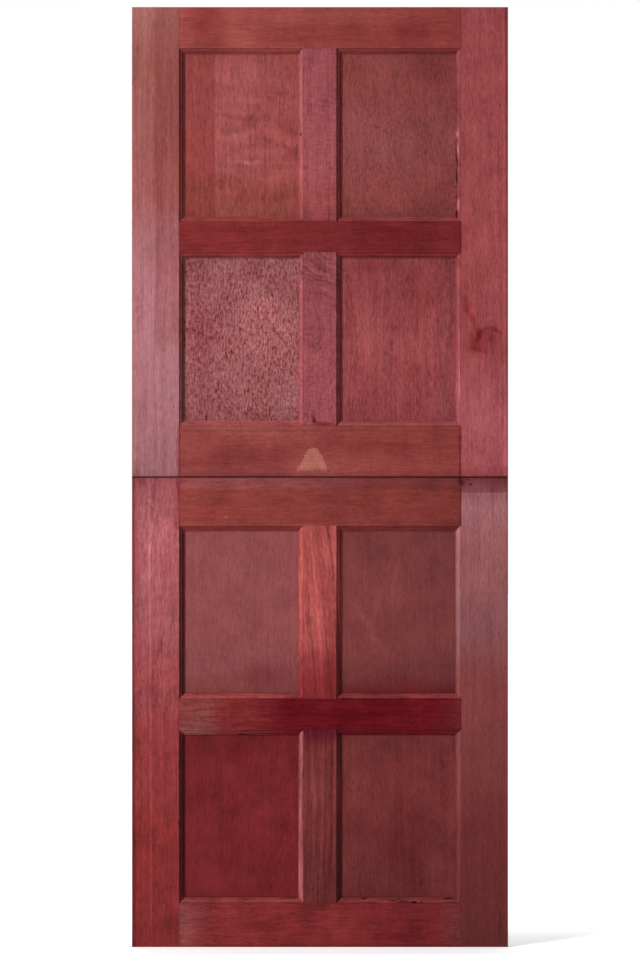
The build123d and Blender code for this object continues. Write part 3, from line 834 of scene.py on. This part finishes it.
        grain=dict(band=0.14, streak=0.22, fine=0.44, fibre=0.3, cloud=0.26, net=0.26, ripple=0.60, mottle=0.30), contrast=1.25,
        # edge tints: painted highlight on the left round, facing the light; painted shade on the right round, away from
        # it
        ripple_size=(0.0064, 0.010), ripple_width=0.05, ripple_lean=0.5, ripple_zone=(246, 252, 288, 305), left_edge=LIT_ROUND_HIGHLIGHT, right_edge=SHADED_ROUND_SHADE,
        marks=[("down", 424.5, 432, 1.0, (0.62, 0.38, 0.44), 0.8), ("spot", 313.8, 419.5, 3.2, 6.8, -12, 0.3, (0.42, 0.06, 0.14), 0.98),
               ("spot", 324, 424.0, 11, 4.0, 0, 0.3, (0.66, 0.22, 0.32), 0.95), ("glow", 325, 320, 10, 50, 0, 0.1, (0.94, 1.0, 1.0), 0.7)]),
    "upper_top_muntin": dict(
        along=[(46, "rose", 0.83), (90, "rose", 0.87), (160, "rose", 0.94), (200, "garnet", 0.98), (216, "garnet", 0.84), (224, "oxblood", 1.0)],
        # edge tints: painted highlight on the left round, facing the light; painted shade on the right round, away from
        # it
        grain=dict(band=0.14, streak=0.26, fine=0.36, fibre=0.2, cloud=0.20, net=0.30, mottle=0.16), left_edge=LIT_ROUND_HIGHLIGHT, right_edge=SHADED_ROUND_SHADE, contrast=1.2,
        # the first mark darkens the hole in the muntin's round: painted shade
        marks=[("glow", 302.2, 134, 1.3, 2.6, 0, 0.3, (0.3, 0.1, 0.12), 0.9), ("glow", 301.8, 128, 0.9, 14, 0, 0.3, (0.8, 0.55, 0.55), 0.7),
               ("spot", 330, 70, 12, 26, 0, 0.1, (0.90, 0.84, 0.82), 0.8)]),
    "upper_top_left_panel": dict(
        along=[(45, "brick", 0.98), (75, "garnet", 1.08), (120, "garnet", 1.08), (160, "garnet", 1.10), (195, "brick", 1.02), (220, "brick", 0.98)],
        grain=dict(band=0.12, streak=0.20, fine=0.42, fibre=0.45, cloud=0.20, ripple=0.40, mottle=0.24), ripple_size=(0.024, 0.016), ripple_width=0.13,
        ripple_zone=(80, 104, 184, 206), ripple_x=(214, 222), contrast=1.1, hue=(0.02, 0.05, 0.05),
        marks=[("glow", 229, 134, 16, 16, 0, 0.1, (1.08, 1.16, 1.08), 0.9), ("spot", 250, 112, 22, 2.4, 2, 0.2, (1.14, 1.24, 1.22), 0.85), ("spot", 270, 178, 22, 2.6, -3, 0.2, (1.14, 1.26, 1.22), 0.8), ("patch", 170, 310, 30, 232, 3, 3, (0.92, 1.01, 0.96), 1.0), ("across", 180, 216.5, 0.9, (0.84, 0.64, 0.60), 0.95), ("across", 216.2, 218.0, 0.6, (1.12, 1.2, 1.2), 0.8),
               ("across", 262, 305, 5.0, (0.95, 0.92, 0.86), 0.8), ("glow", 246, 74, 30, 24, 0, 0.1, (1.06, 1.22, 1.20), 0.8),
               ("glow", 240, 133, 26, 14, 0, 0.1, (1.10, 1.28, 1.30), 0.85), ("glow", 236, 166, 22, 12, 0, 0.1, (1.03, 1.18, 1.2), 0.8),
               ("spot", 253, 162, 13, 3.0, -6, 0.2, (1.36, 1.7, 1.7), 0.9), ("spot", 284, 170, 16, 2.4, -4, 0.2, (1.14, 1.26, 1.2), 0.8),
               ("spot", 250, 100, 26, 3.0, 3, 0.2, (1.10, 1.2, 1.18), 0.8), ("spot", 232, 88, 14, 6, 0, 0.1, (0.94, 0.84, 0.82), 0.8),
               ("spot", 280, 92, 20, 2.6, 4, 0.2, (0.88, 0.74, 0.72), 0.8), ("spot", 246, 118, 26, 3.4, 3, 0.2, (0.86, 0.74, 0.72), 0.8),
               ("spot", 262, 146, 26, 3.6, 3, 0.2, (0.86, 0.74, 0.72), 0.8), ("spot", 250, 196, 44, 10, 0, 0.2, (0.90, 0.76, 0.74), 0.8)]),
    "upper_top_right_panel": dict(
        along=[(45, "umber", 1.12), (80, "umber", 1.26), (150, "dusk", 0.94), (195, "umber", 1.30), (222, "umber", 1.06)],
        grain=dict(band=0.08, streak=0.10, fine=0.34, fibre=0.4, cloud=0.22, dash=0.36, net=0.14, mottle=0.16), dash_size=(0.0034, 0.008), dash_at=-0.1, contrast=1.15,
        marks=[("patch", 335, 470, 30, 232, 3, 3, (0.99, 0.95, 0.91), 1.0), ("across", 410, 470, 14.0, (0.90, 0.84, 0.84), 0.9), ("glow", 435, 70, 34, 24, 0, 0.1, (0.84, 0.70, 0.70), 0.8),
               ("spot", 352, 70, 18, 16, 0, 0.1, (0.94, 0.80, 0.78), 0.8), ("glow", 385, 62, 20, 10, 0, 0.1, (1.04, 1.12, 1.12), 0.7),
               ("glow", 396, 150, 30, 34, 0, 0.1, (1.02, 1.10, 1.12), 0.8), ("glow", 435, 205, 30, 12, 0, 0.1, (0.88, 0.78, 0.8), 0.7)]),
    "upper_bottom_left_panel": dict(
        along=[(250, "mauve", 0.92), (290, "mauve", 1.05), (340, "mauve", 1.15), (380, "mauve", 1.10), (424, "mauve", 1.03)],
        grain=dict(band=0.06, streak=0.12, fine=0.46, fibre=0.45, cloud=0.26, dash=0.48, mottle=0.44), dash_size=(0.0036, 0.0095), dash_at=-0.5, dash_soft=1.1, bump=0.6,
        hue=(0.02, 0.04, 0.04), contrast=1.25, swing=(0.455, 0.82, 0.83),
        marks=[("glow", 262, 308, 34, 20, 0, 0.1, (1.24, 1.28, 1.22), 0.9), ("spot", 203, 372, 16, 18, 0, 0.2, (0.94, 0.90, 0.88), 0.9), ("glow", 254, 402, 20, 16, 0, 0.1, (1.08, 1.05, 1.04), 0.9), ("glow", 270, 336, 36, 44, 0, 0.1, (1.16, 1.20, 1.18), 0.95), ("across", 193, 218, 8.0, (0.90, 0.80, 0.82), 0.8),
               ("glow", 262, 304, 26, 16, 0, 0.1, (1.10, 1.16, 1.16), 0.8), ("glow", 258, 396, 24, 24, 0, 0.1, (1.08, 1.12, 1.12), 0.8),
               ("spot", 205, 330, 18, 60, 0, 0.2, (0.92, 0.82, 0.84), 0.8), ("spot", 228, 296, 3, 12, 0, 0.2, (0.7, 0.55, 0.6), 0.8)]),
    "upper_bottom_right_panel": dict(
        along=[(250, "garnet", 0.76), (285, "garnet", 0.84), (315, "garnet", 0.94), (350, "garnet", 0.98), (424, "garnet", 0.86)],
        grain=dict(band=0.14, streak=0.24, fine=0.52, fibre=0.5, cloud=0.22, mottle=0.22), wander=0.006, contrast=1.25,
        marks=[("across", 437, 470, 5.0, (0.90, 0.96, 0.96), 0.8), ("spot", 443, 348, 2.6, 28, -6, 0.2, (1.16, 1.34, 1.3), 0.85),
               ("spot", 436, 330, 1.6, 24, -5, 0.2, (1.10, 1.24, 1.2), 0.8), ("glow", 374, 330, 32, 30, 0, 0.1, (1.08, 1.30, 1.24), 0.85),
               ("glow", 384, 368, 18, 18, 0, 0.1, (1.04, 1.2, 1.12), 0.8), ("spot", 375, 266, 36, 12, 0, 0.2, (0.94, 0.78, 0.74), 0.8),
               ("spot", 425, 296, 28, 34, 0, 0.1, (0.88, 0.78, 0.74), 0.85), ("spot", 415, 372, 26, 16, 0, 0.1, (0.95, 0.84, 0.84), 0.8)]),
    "lower_left_stile": dict(
        along=[(476, "rose", 0.80), (500, "pink", 0.81), (540, "pink", 0.96), (620, "pink", 0.80), (690, "garnet", 0.98),
               (745, "russet", 0.96), (790, "russet", 0.92), (830, "oxblood", 1.14), (890, "oxblood", 1.06), (948, "oxblood", 0.90)],
        grain=dict(band=0.16, streak=0.20, fine=0.42, fibre=0.35, cloud=0.30, ripple=0.12, mottle=0.20), ripple_size=(0.012, 0.012), ripple_lean=-0.5,
        # edge tint: painted shade on the round that faces away from the light; quirk sets the painted quirk shade
        edge=(0.42, 0.26, 0.26), quirk=0.8, contrast=1.25,
        # painted shade on that round beside the two lower left panels
        wear_and_painted_light=[("patch", 178.8, 184.4, 532, 692, 0.6, 3, (0.64, 0.58, 0.60), 0.9), ("patch", 178.0, 183.8, 736, 896, 0.6, 3, (0.54, 0.50, 0.52), 0.9)],
        marks=[("patch", 152, 177, 575, 690, 6, 12, (1.07, 1.0, 0.98), 0.9), ("patch", 128, 154, 625, 690, 6, 12, (1.07, 1.0, 1.0), 0.9), ("across", 128, 134.2, 0.8, (0.60, 0.36, 0.46), 0.9), ("glow", 133, 530, 6, 110, 0, 0.3, (0.74, 0.50, 0.64), 0.85),
               ("across", 148.6, 150.4, 0.6, (1.32, 1.6, 1.56), 0.85), ("glow", 146.6, 830, 0.8, 110, 0, 0.6, (0.84, 0.7, 0.72), 0.7),
               ("spot", 152.5, 530, 1.7, 36, 8, 0.3, (1.30, 1.65, 1.56), 0.9),
               ("spot", 150, 503, 9, 2.4, 42, 0.3, (1.24, 1.5, 1.4), 0.85), ("spot", 158, 512, 2.2, 16, -24, 0.3, (1.14, 1.3, 1.26), 0.8),
               ("spot", 156, 585, 3.0, 30, 14, 0.2, (1.08, 1.2, 1.18), 0.8),
               ("spot", 168, 560, 10, 30, 0, 0.1, (1.0, 0.84, 0.86), 0.8), ("spot", 142, 640, 9, 26, 0, 0.1, (1.02, 0.84, 0.86), 0.8),
               ("glow", 178, 489, 1.8, 12, 0, 0.3, (0.9, 0.32, 0.48), 0.9), ("spot", 165, 655, 8, 20, 0, 0.1, (1.08, 1.2, 1.2), 0.7),
               ("patch", 176.6, 184, 474, 530, 0.6, 2, (0.80, 0.44, 0.52), 0.7), ("spot", 162, 720, 12, 20, 0, 0.1, (0.96, 0.84, 0.82), 0.8),
               ("glow", 177.5, 721, 2.8, 8, 0, 0.3, (0.95, 0.26, 0.38), 0.9), ("spot", 168, 922, 9, 24, 0, 0.2, (0.78, 0.62, 0.66), 0.8),
               ("spot", 160, 790, 16, 24, 0, 0.1, (1.0, 0.80, 0.80), 0.8), ("spot", 140, 720, 8, 30, 0, 0.1, (1.04, 1.06, 1.06), 0.7)]),
    "lower_right_stile": dict(
        along=[(476, "umber", 1.1), (492, "mauve", 1.02), (508, "haze", 0.88), (535, "mauve", 1.06), (570, "mauve", 1.0), (620, "mauve", 0.82), (690, "umber", 1.14),
               (760, "umber", 1.02), (830, "cocoa", 1.04), (900, "cocoa", 0.92), (948, "cocoa", 0.78)],
        # edge tint: painted highlight on the round that faces the light
        grain=dict(band=0.12, streak=0.12, fine=0.28, fibre=0.18, cloud=0.14, dash=0.06, mottle=0.10), dash_size=(0.003, 0.010), edge=(1.20, 1.42, 1.42), quirk=0.2,
        contrast=1.3,
        marks=[("patch", 480, 507, 484, 534, 6, 5, (1.08, 1.05, 1.02), 0.9), ("down", 470, 492.5, 0.8, (0.66, 0.52, 0.60), 0.95), ("across", 506.6, 512, 0.6, (0.62, 0.5, 0.55), 0.8),
               ("spot", 461, 483, 5.0, 5.6, 0, 0.3, (0.46, 0.06, 0.16), 0.95), ("spot", 471, 485, 2.2, 1.9, 0, 0.3, (0.36, 0.14, 0.22), 0.95),
               ("spot", 468, 479.5, 5, 1.2, 0, 0.3, (0.5, 0.25, 0.33), 0.8), ("glow", 459.4, 800, 1.6, 110, 0, 0.6, (1.18, 1.25, 1.25), 0.8),
               ("spot", 471, 600, 7, 16, 0, 0.1, (0.88, 0.78, 0.80), 0.7), ("glow", 487, 540, 16, 40, 0, 0.1, (1.05, 1.12, 1.12), 0.7),
               ("spot", 498.5, 925, 2.2, 24, 0, 0.2, (0.66, 0.48, 0.50), 0.9)]),
    "lower_meeting_rail": dict(
        along=[(176, "rust", 1.06), (240, "rust", 1.0), (300, "rust", 0.98), (345, "rust", 0.86), (400, "rust", 0.92), (432, "rust", 0.82), (462, "rust", 0.80)],
        grain=dict(band=0.10, streak=0.14, fine=0.34, fibre=0.3, cloud=0.24, mottle=0.22), band_width=0.02, low_edge=(0.94, 0.86, 0.9), hue=(0.03, 0.05, 0.02), contrast=1.2, quirk=0.2,
        # the first mark lightens the quirk line against its shade: painted light
        wear_and_painted_light=[("down", 524.8, 526.4, 0.4, (1.26, 1.26, 1.3), 0.85), ("down", 526.9, 528.4, 0.4, (0.62, 0.34, 0.40), 0.9)],
        marks=[("patch", 170, 345, 470, 489.5, 26, 1.2, (1.05, 1.42, 1.75), 0.9), ("patch", 345, 470, 470, 489.5, 26, 1.2, (0.80, 0.80, 0.98), 0.9),
               ("glow", 205, 512, 50, 12, 0, 0.1, (1.06, 1.0, 0.90), 0.8),
               ("spot", 226, 517, 2.2, 1.3, 0, 0.3, (1.6, 2.0, 2.0), 0.85), ("glow", 330, 507, 130, 14, 0, 0.2, (1.03, 1.04, 0.98), 0.7),
               ("glow", 320, 524.4, 140, 1.8, 0, 0.3, (1.04, 1.16, 1.18), 0.7), ("spot", 461, 481, 5.4, 5.6, 0, 0.3, (0.36, 0.08, 0.20), 0.95),
               ("patch", 459.6, 470, 470, 530, 0.8, 2, (0.8, 0.42, 0.5), 0.8), ("patch", 170, 179.8, 470, 530, 0.7, 2, (0.82, 0.5, 0.55), 0.7)]),
    "lower_middle_rail": dict(
        along=[(176, "umber", 1.12), (203, "umber", 1.08), (226, "oxblood", 0.88), (245, "oxblood", 0.90), (262, "crimson", 0.96), (292, "wine", 1.12), (325, "wine", 0.98),
               (400, "wine", 0.97), (430, "wine", 1.04), (460, "crimson", 0.82)],
        grain=dict(band=0.18, streak=0.18, fine=0.42, fibre=0.25, cloud=0.30, mottle=0.30), band_width=0.02, low_edge=(1.06, 1.25, 1.25), top_edge=("salmon", 1.0, 0.82), quirk=0.2,
        contrast=1.3, shine=0.06,
        # the second mark lightens the quirk line against its shade: painted light
        wear_and_painted_light=[("patch", 290, 470, 688, 699.6, 24, 0.8, (0.72, 0.56, 0.60), 0.95), ("down", 729.4, 730.9, 0.4, (1.5, 1.5, 1.5), 0.85)],
        marks=[("spot", 348, 716, 44, 12, 0, 0.2, (0.92, 0.52, 0.66), 0.85), ("patch", 176, 214, 697, 716, 6, 4, (1.03, 0.90, 0.88), 0.9), ("glow", 323, 706, 12, 8, 0, 0.1, (1.2, 1.6, 1.4), 0.85), ("spot", 260, 720, 30, 2.4, 0, 0.2, (1.2, 1.4, 1.3), 0.8),
               ("spot", 300, 712, 26, 7, 6, 0.1, (0.86, 0.66, 0.74), 0.8), ("spot", 430, 716, 26, 7, 0, 0.1, (1.04, 1.4, 1.3), 0.8),
               ("spot", 215, 724, 26, 4, 0, 0.2, (0.94, 1.1, 1.0), 0.8), ("spot", 238, 704, 20, 3.4, 0, 0.2, (0.82, 0.7, 0.72), 0.8), ("patch", 256, 300, 698, 729, 10, 3, (0.88, 0.62, 0.70), 0.8),
               ("spot", 200, 712, 22, 8, 0, 0.1, (1.05, 1.1, 1.06), 0.8)]),
    "lower_bottom_rail": dict(
        along=[(176, "umber", 1.08), (215, "oxblood", 1.02), (260, "oxblood", 0.96), (300, "oxblood", 0.90), (330, "oxblood", 0.96), (400, "crimson", 1.0),
               (430, "crimson", 1.0), (460, "cocoa", 1.0)],
        grain=dict(band=0.14, streak=0.16, fine=0.34, fibre=0.3, cloud=0.36, mottle=0.26), band_width=0.02, top_edge=("salmon", 0.90, 0.70), quirk=0.1, contrast=1.4, shine=0.14,
        wear_and_painted_light=[("patch", 310, 470, 894, 903.6, 24, 0.8, (0.74, 0.68, 0.70), 0.95), ("spot", 398, 903.6, 24, 1.1, 2, 0.3, (1.25, 1.5, 1.5), 0.85),
              ("spot", 350, 902.2, 12, 1.2, -2, 0.3, (1.2, 1.4, 1.4), 0.8), ("spot", 436, 903.0, 8, 1.0, 4, 0.3, (1.2, 1.45, 1.45), 0.8)],
        marks=[("glow", 218, 914, 44, 7, 0, 0.2, (1.06, 1.22, 1.2), 0.8), ("spot", 395, 937, 42, 8, 0, 0.2, (0.78, 0.54, 0.60), 0.9),
               ("spot", 452, 934, 22, 12, 0, 0.2, (1.12, 1.45, 1.3), 0.85), ("down", 944.5, 950, 0.8, (0.7, 0.5, 0.5), 0.7),
               ("spot", 300, 911, 100, 4, 0, 0.2, (1.06, 1.2, 1.18), 0.8), ("spot", 262, 926, 34, 8, 3, 0.2, (0.80, 0.60, 0.66), 0.85),
               ("spot", 335, 925, 30, 14, 0, 0.1, (1.02, 1.14, 1.12), 0.8), ("spot", 188, 928, 14, 16, 0, 0.1, (1.02, 1.12, 1.12), 0.8),
               # pale bare edges beside the broken round, and painted shade in its breaks
               ("glow", 402, 899.4, 17, 0.7, 0, 0.4, (1.4, 1.9, 1.8), 0.8), ("glow", 380, 902.8, 6, 0.7, 0, 0.4, (1.5, 2.1, 2.0), 0.8),
               ("glow", 347, 902.6, 5, 0.8, 0, 0.4, (1.4, 1.9, 1.8), 0.7), ("glow", 363, 899.4, 3.8, 1.3, 0, 0.3, (0.35, 0.15, 0.17), 0.9),
               ("glow", 399, 901.6, 16, 0.9, 4, 0.3, (0.4, 0.18, 0.22), 0.9), ("glow", 413, 902.6, 3.0, 1.4, 0, 0.3, (0.3, 0.12, 0.14), 0.95),
               ("glow", 447, 899.6, 6.0, 1.3, 0, 0.3, (0.36, 0.16, 0.18), 0.95), ("glow", 287, 900.4, 11, 0.9, 0, 0.3, (0.42, 0.22, 0.25), 0.9)]),
    "lower_bottom_muntin": dict(
        along=[(731, "plum", 0.78), (748, "cocoa", 0.98), (790, "cocoa", 1.22), (830, "cocoa", 1.06), (870, "cocoa", 0.84), (902, "cocoa", 0.84)],
        # edge tints: painted highlight on the left round, facing the light; painted shade on the right round, away from
        # it
        grain=dict(band=0.44, streak=0.56, fine=0.44, fibre=0.2, cloud=0.16, mottle=0.1), band_width=0.010, lean=-0.02, left_edge=("dusk", 1.34, 0.92),
        right_edge=(0.60, 0.40, 0.40), quirk=0.1, contrast=1.4, shine=0.14,
        marks=[("spot", 318, 739, 16, 10, 0, 0.2, (0.9, 0.5, 0.66), 0.8), ("spot", 327, 860, 2.4, 50, -3, 0.2, (0.78, 0.62, 0.62), 0.8),
               ("spot", 316, 794, 14, 26, 0, 0.1, (1.05, 1.24, 1.2), 0.85)]),
    "lower_top_muntin": dict(
        along=[(525, "salmon", 0.92), (560, "salmon", 1.10), (610, "salmon", 1.13), (640, "salmon", 1.00), (664, "russet", 0.98), (680, "oxblood", 1.10), (700, "oxblood", 0.96)],
        # edge tints: painted highlight on the left round, facing the light; painted shade on the right round, away from
        # it
        grain=dict(band=0.56, streak=0.40, fine=0.42, fibre=0.2, cloud=0.16, mottle=0.14), band_width=0.012, lean=0.085, left_edge=LIT_ROUND_HIGHLIGHT, right_edge=(0.52, 0.34, 0.34),
        quirk=0.3, contrast=1.25, marks=[("patch", 300, 320, 660, 700, 3, 6, (1.18, 1.26, 1.30), 0.9), ("patch", 320, 342, 660, 700, 3, 6, (0.90, 0.76, 0.80), 0.9), ("spot", 331, 640, 8, 50, 0, 0.1, (0.92, 0.84, 0.84), 0.8), ("patch", 318, 340, 540, 600, 4, 10, (1.06, 1.10, 1.12), 0.9)]),
    "lower_top_left_panel": dict(
        along=[(525, "dusk", 0.98), (580, "dusk", 1.01), (630, "dusk", 0.98), (665, "dusk", 0.88), (698, "umber", 1.06)],
        grain=dict(band=0.06, streak=0.10, fine=0.24, fibre=0.22, cloud=0.28, mottle=0.18), hue=(0.02, 0.05, 0.05), contrast=1.1,
        marks=[("spot", 262, 672, 34, 18, 0, 0.1, (0.95, 0.82, 0.84), 0.9), ("glow", 253, 600, 14, 90, 0, 0.1, (0.93, 0.92, 0.94), 0.8), ("spot", 262, 676, 44, 17, 0, 0.1, (0.86, 0.72, 0.74), 0.85),
               ("spot", 252, 566, 2.5, 26, 10, 0.2, (1.06, 1.14, 1.14), 0.8), ("spot", 210, 680, 20, 9, 0, 0.1, (0.94, 0.86, 0.88), 0.7)]),
    "lower_top_right_panel": dict(
        along=[(525, "umber", 0.94), (600, "umber", 1.06), (650, "umber", 1.03), (672, "umber", 0.88), (698, "crimson", 0.84)],
        grain=dict(band=0.08, streak=0.10, fine=0.24, fibre=0.20, cloud=0.26, mottle=0.15), contrast=1.2,
        marks=[("spot", 362, 615, 6.0, 28, -34, 0.2, (1.16, 1.30, 1.30), 0.9), ("spot", 378, 600, 5.0, 24, 16, 0.2, (1.10, 1.20, 1.20), 0.8), ("spot", 350, 560, 9, 30, 0, 0.1, (1.04, 1.12, 1.12), 0.7), ("spot", 396, 572, 3.4, 30, 12, 0.2, (1.14, 1.28, 1.28), 0.85),
               ("spot", 374, 640, 9, 5, 20, 0.2, (1.18, 1.32, 1.3), 0.8), ("spot", 350, 600, 5, 20, -10, 0.1, (1.08, 1.16, 1.16), 0.8),
               ("across", 404, 470, 12.0, (0.92, 0.92, 0.94), 0.8), ("spot", 400, 680, 50, 7, 0, 0.2, (1.0, 0.72, 0.74), 0.8)]),
    "lower_bottom_left_panel": dict(
        along=[(731, "crimson", 0.86), (780, "crimson", 1.02), (850, "crimson", 1.05), (902, "crimson", 0.96)],
        grain=dict(band=0.06, streak=0.10, fine=0.30, fibre=0.25, cloud=0.42, mottle=0.14), contrast=1.3, shine=0.12,
        # the dark band along the panel's top, under the rail's lip, and the dark mark under the gap in that lip:
        # painted shade
        marks=[("spot", 232, 752, 32, 19, 0, 0.1, (0.92, 0.68, 0.76), 0.92), ("spot", 215, 760, 10, 34, 20, 0.1, (1.03, 1.16, 1.1), 0.7), ("down", 731, 736, 0.8, (0.8, 0.7, 0.7), 0.8), ("glow", 242.5, 734, 6.5, 1.5, 0, 0.3, (0.3, 0.15, 0.15), 0.8),
               ("glow", 268, 800, 16, 60, 0, 0.1, (1.03, 1.16, 1.14), 0.8)]),
    "lower_bottom_right_panel": dict(
        along=[(731, "cocoa", 1.02), (790, "cocoa", 1.14), (850, "cocoa", 1.0), (902, "cocoa", 0.92)],
        grain=dict(band=0.08, streak=0.12, fine=0.28, fibre=0.22, cloud=0.30, dash=0.05, mottle=0.12), dash_size=(0.003, 0.016), contrast=1.4, shine=0.14,
        marks=[("glow", 408, 846, 30, 62, 0, 0.1, (0.82, 0.58, 0.60), 0.95), ("spot", 400, 790, 10, 26, 0, 0.1, (0.9, 0.74, 0.76), 0.85), ("glow", 360, 860, 18, 40, 0, 0.1, (1.06, 1.18, 1.16), 0.8),
               ("glow", 357, 788, 20, 30, 0, 0.1, (1.24, 1.50, 1.52), 0.9), ("glow", 385, 850, 16, 40, 0, 0.1, (0.90, 0.76, 0.78), 0.85),
               ("across", 446, 470, 4.0, (1.08, 1.2, 1.16), 0.8), ("glow", 390, 750, 50, 12, 0, 0.1, (1.02, 1.1, 1.1), 0.6)]),
}

for number, (node, o) in enumerate(boards.items()):
    o.data.materials.clear()
    o.data.materials.append(wood(node, SPECS[node], 100 + number))
    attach(o, "root")
    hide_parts(node)
dowel_wood = beech()
for node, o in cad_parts.items():
    if node.endswith("_dowels"):
        o.data.materials.clear()
        o.data.materials.append(dowel_wood)

# ------------------------------------------------------------- camera
cam_data = bpy.data.cameras.new("camera")
cam_data.sensor_fit = "VERTICAL"
cam_data.sensor_height = 36.0
cam_data.sensor_width = 24.15
cam = bpy.data.objects.new("camera", cam_data)
bpy.context.scene.collection.objects.link(cam)
DIST = 8.0
# 954 pixels show 2062.4 mm of the door's front face
cam_data.lens = 36.0 * DIST / (954 * 0.0021615)
cam.location = (0.0, -DIST - HT * MM, (947.1 - 477.0) * 0.0021615)
cam.rotation_euler = (math.radians(90), 0, 0)
cam_data.clip_end = 100
bpy.context.scene.camera = cam

# ------------------------------------------------------------- floor and light
bm = bmesh.new()
bmesh.ops.create_grid(bm, x_segments=1, y_segments=1, size=24.0)
floor = to_object(bm, "floor")
net = Net("pale_floor")
fy = net.split(net.new("ShaderNodeTexCoord").outputs["Object"])[1]
speck = net.noise(net.new("ShaderNodeTexCoord").outputs["Object"], (0.02, 0.02, 0.02), (0, 0, 0), 3.0, 0.6)
fb = net.new("ShaderNodeBsdfPrincipled")
net.put(fb.inputs["Base Color"], net.ramp(net.math("MULTIPLY_ADD", speck, 0.1, 0.5), [(0.0, (0.84, 0.84, 0.84)), (1.0, (0.88, 0.88, 0.88))]))
fb.inputs["Roughness"].default_value = 0.9
fb.inputs["Specular IOR Level"].default_value = 0.1
fb.inputs["Emission Color"].default_value = (1.0, 1.0, 1.0, 1)
# the floor glows as a light from a little in front of the door backwards, more strongly behind it; a further glow seen
# only by the camera makes it as pale in front of the door as behind it, without lighting the door from below
glow = net.math("ADD", net.step(fy, -0.9, -0.2, 0.0, 0.42), net.step(fy, 0.03, 0.55, 0.0, 0.5))
seen = net.new("ShaderNodeLightPath").outputs["Is Camera Ray"]
pale = net.math("MULTIPLY", seen, net.math("ADD", net.step(fy, -0.9, -0.2, 0.42, 0.0), net.step(fy, -4.0, -0.8, 0.55, 0.0)))
net.put(fb.inputs["Emission Strength"], net.math("ADD", glow, pale))
out = net.new("ShaderNodeOutputMaterial")
net.tree.links.new(fb.outputs[0], out.inputs[0])
floor.data.materials.append(net.mat)

world = bpy.data.worlds.new("world")
bpy.context.scene.world = world
world.use_nodes = True
wt = world.node_tree
wt.nodes["Background"].inputs[0].default_value = (1.0, 1.0, 1.0, 1)
wc = wt.nodes.new("ShaderNodeTexCoord")
ws = wt.nodes.new("ShaderNodeSeparateXYZ")
wm = wt.nodes.new("ShaderNodeMapRange")
wm.interpolation_type = "SMOOTHSTEP"
for i, v in ((1, -0.15), (2, 0.55), (3, 0.15), (4, 0.9)):
    wm.inputs[i].default_value = v
wt.links.new(wc.outputs["Generated"], ws.inputs[0])
wt.links.new(ws.outputs[1], wm.inputs[0])
# soft light comes from all round, less of it from the front; the surround itself is white
wp = wt.nodes.new("ShaderNodeLightPath")
wx_ = wt.nodes.new("ShaderNodeMath")
wx_.operation = "MAXIMUM"
wt.links.new(wm.outputs[0], wx_.inputs[0])
wt.links.new(wp.outputs["Is Camera Ray"], wx_.inputs[1])
wt.links.new(wx_.outputs[0], wt.nodes["Background"].inputs[1])


def area(name, loc, target, size, power, colour=(1, 1, 1)):
    d = bpy.data.lights.new(name, "AREA")
    d.shape = "RECTANGLE"
    d.size, d.size_y = size
    d.energy = power
    d.color = colour
    o = bpy.data.objects.new(name, d)
    o.location = loc
    o.rotation_euler = (Vector(target) - Vector(loc)).to_track_quat("-Z", "Y").to_euler()
    bpy.context.scene.collection.objects.link(o)
    return o


area("key", (-3.66, -3.93, 3.72), (0, 0, 1.05), (1.5, 1.8), 314)

view = bpy.context.scene.view_settings
view.view_transform = "Standard"
view.look = "None"
view.exposure = 0.0
view.gamma = 1.0
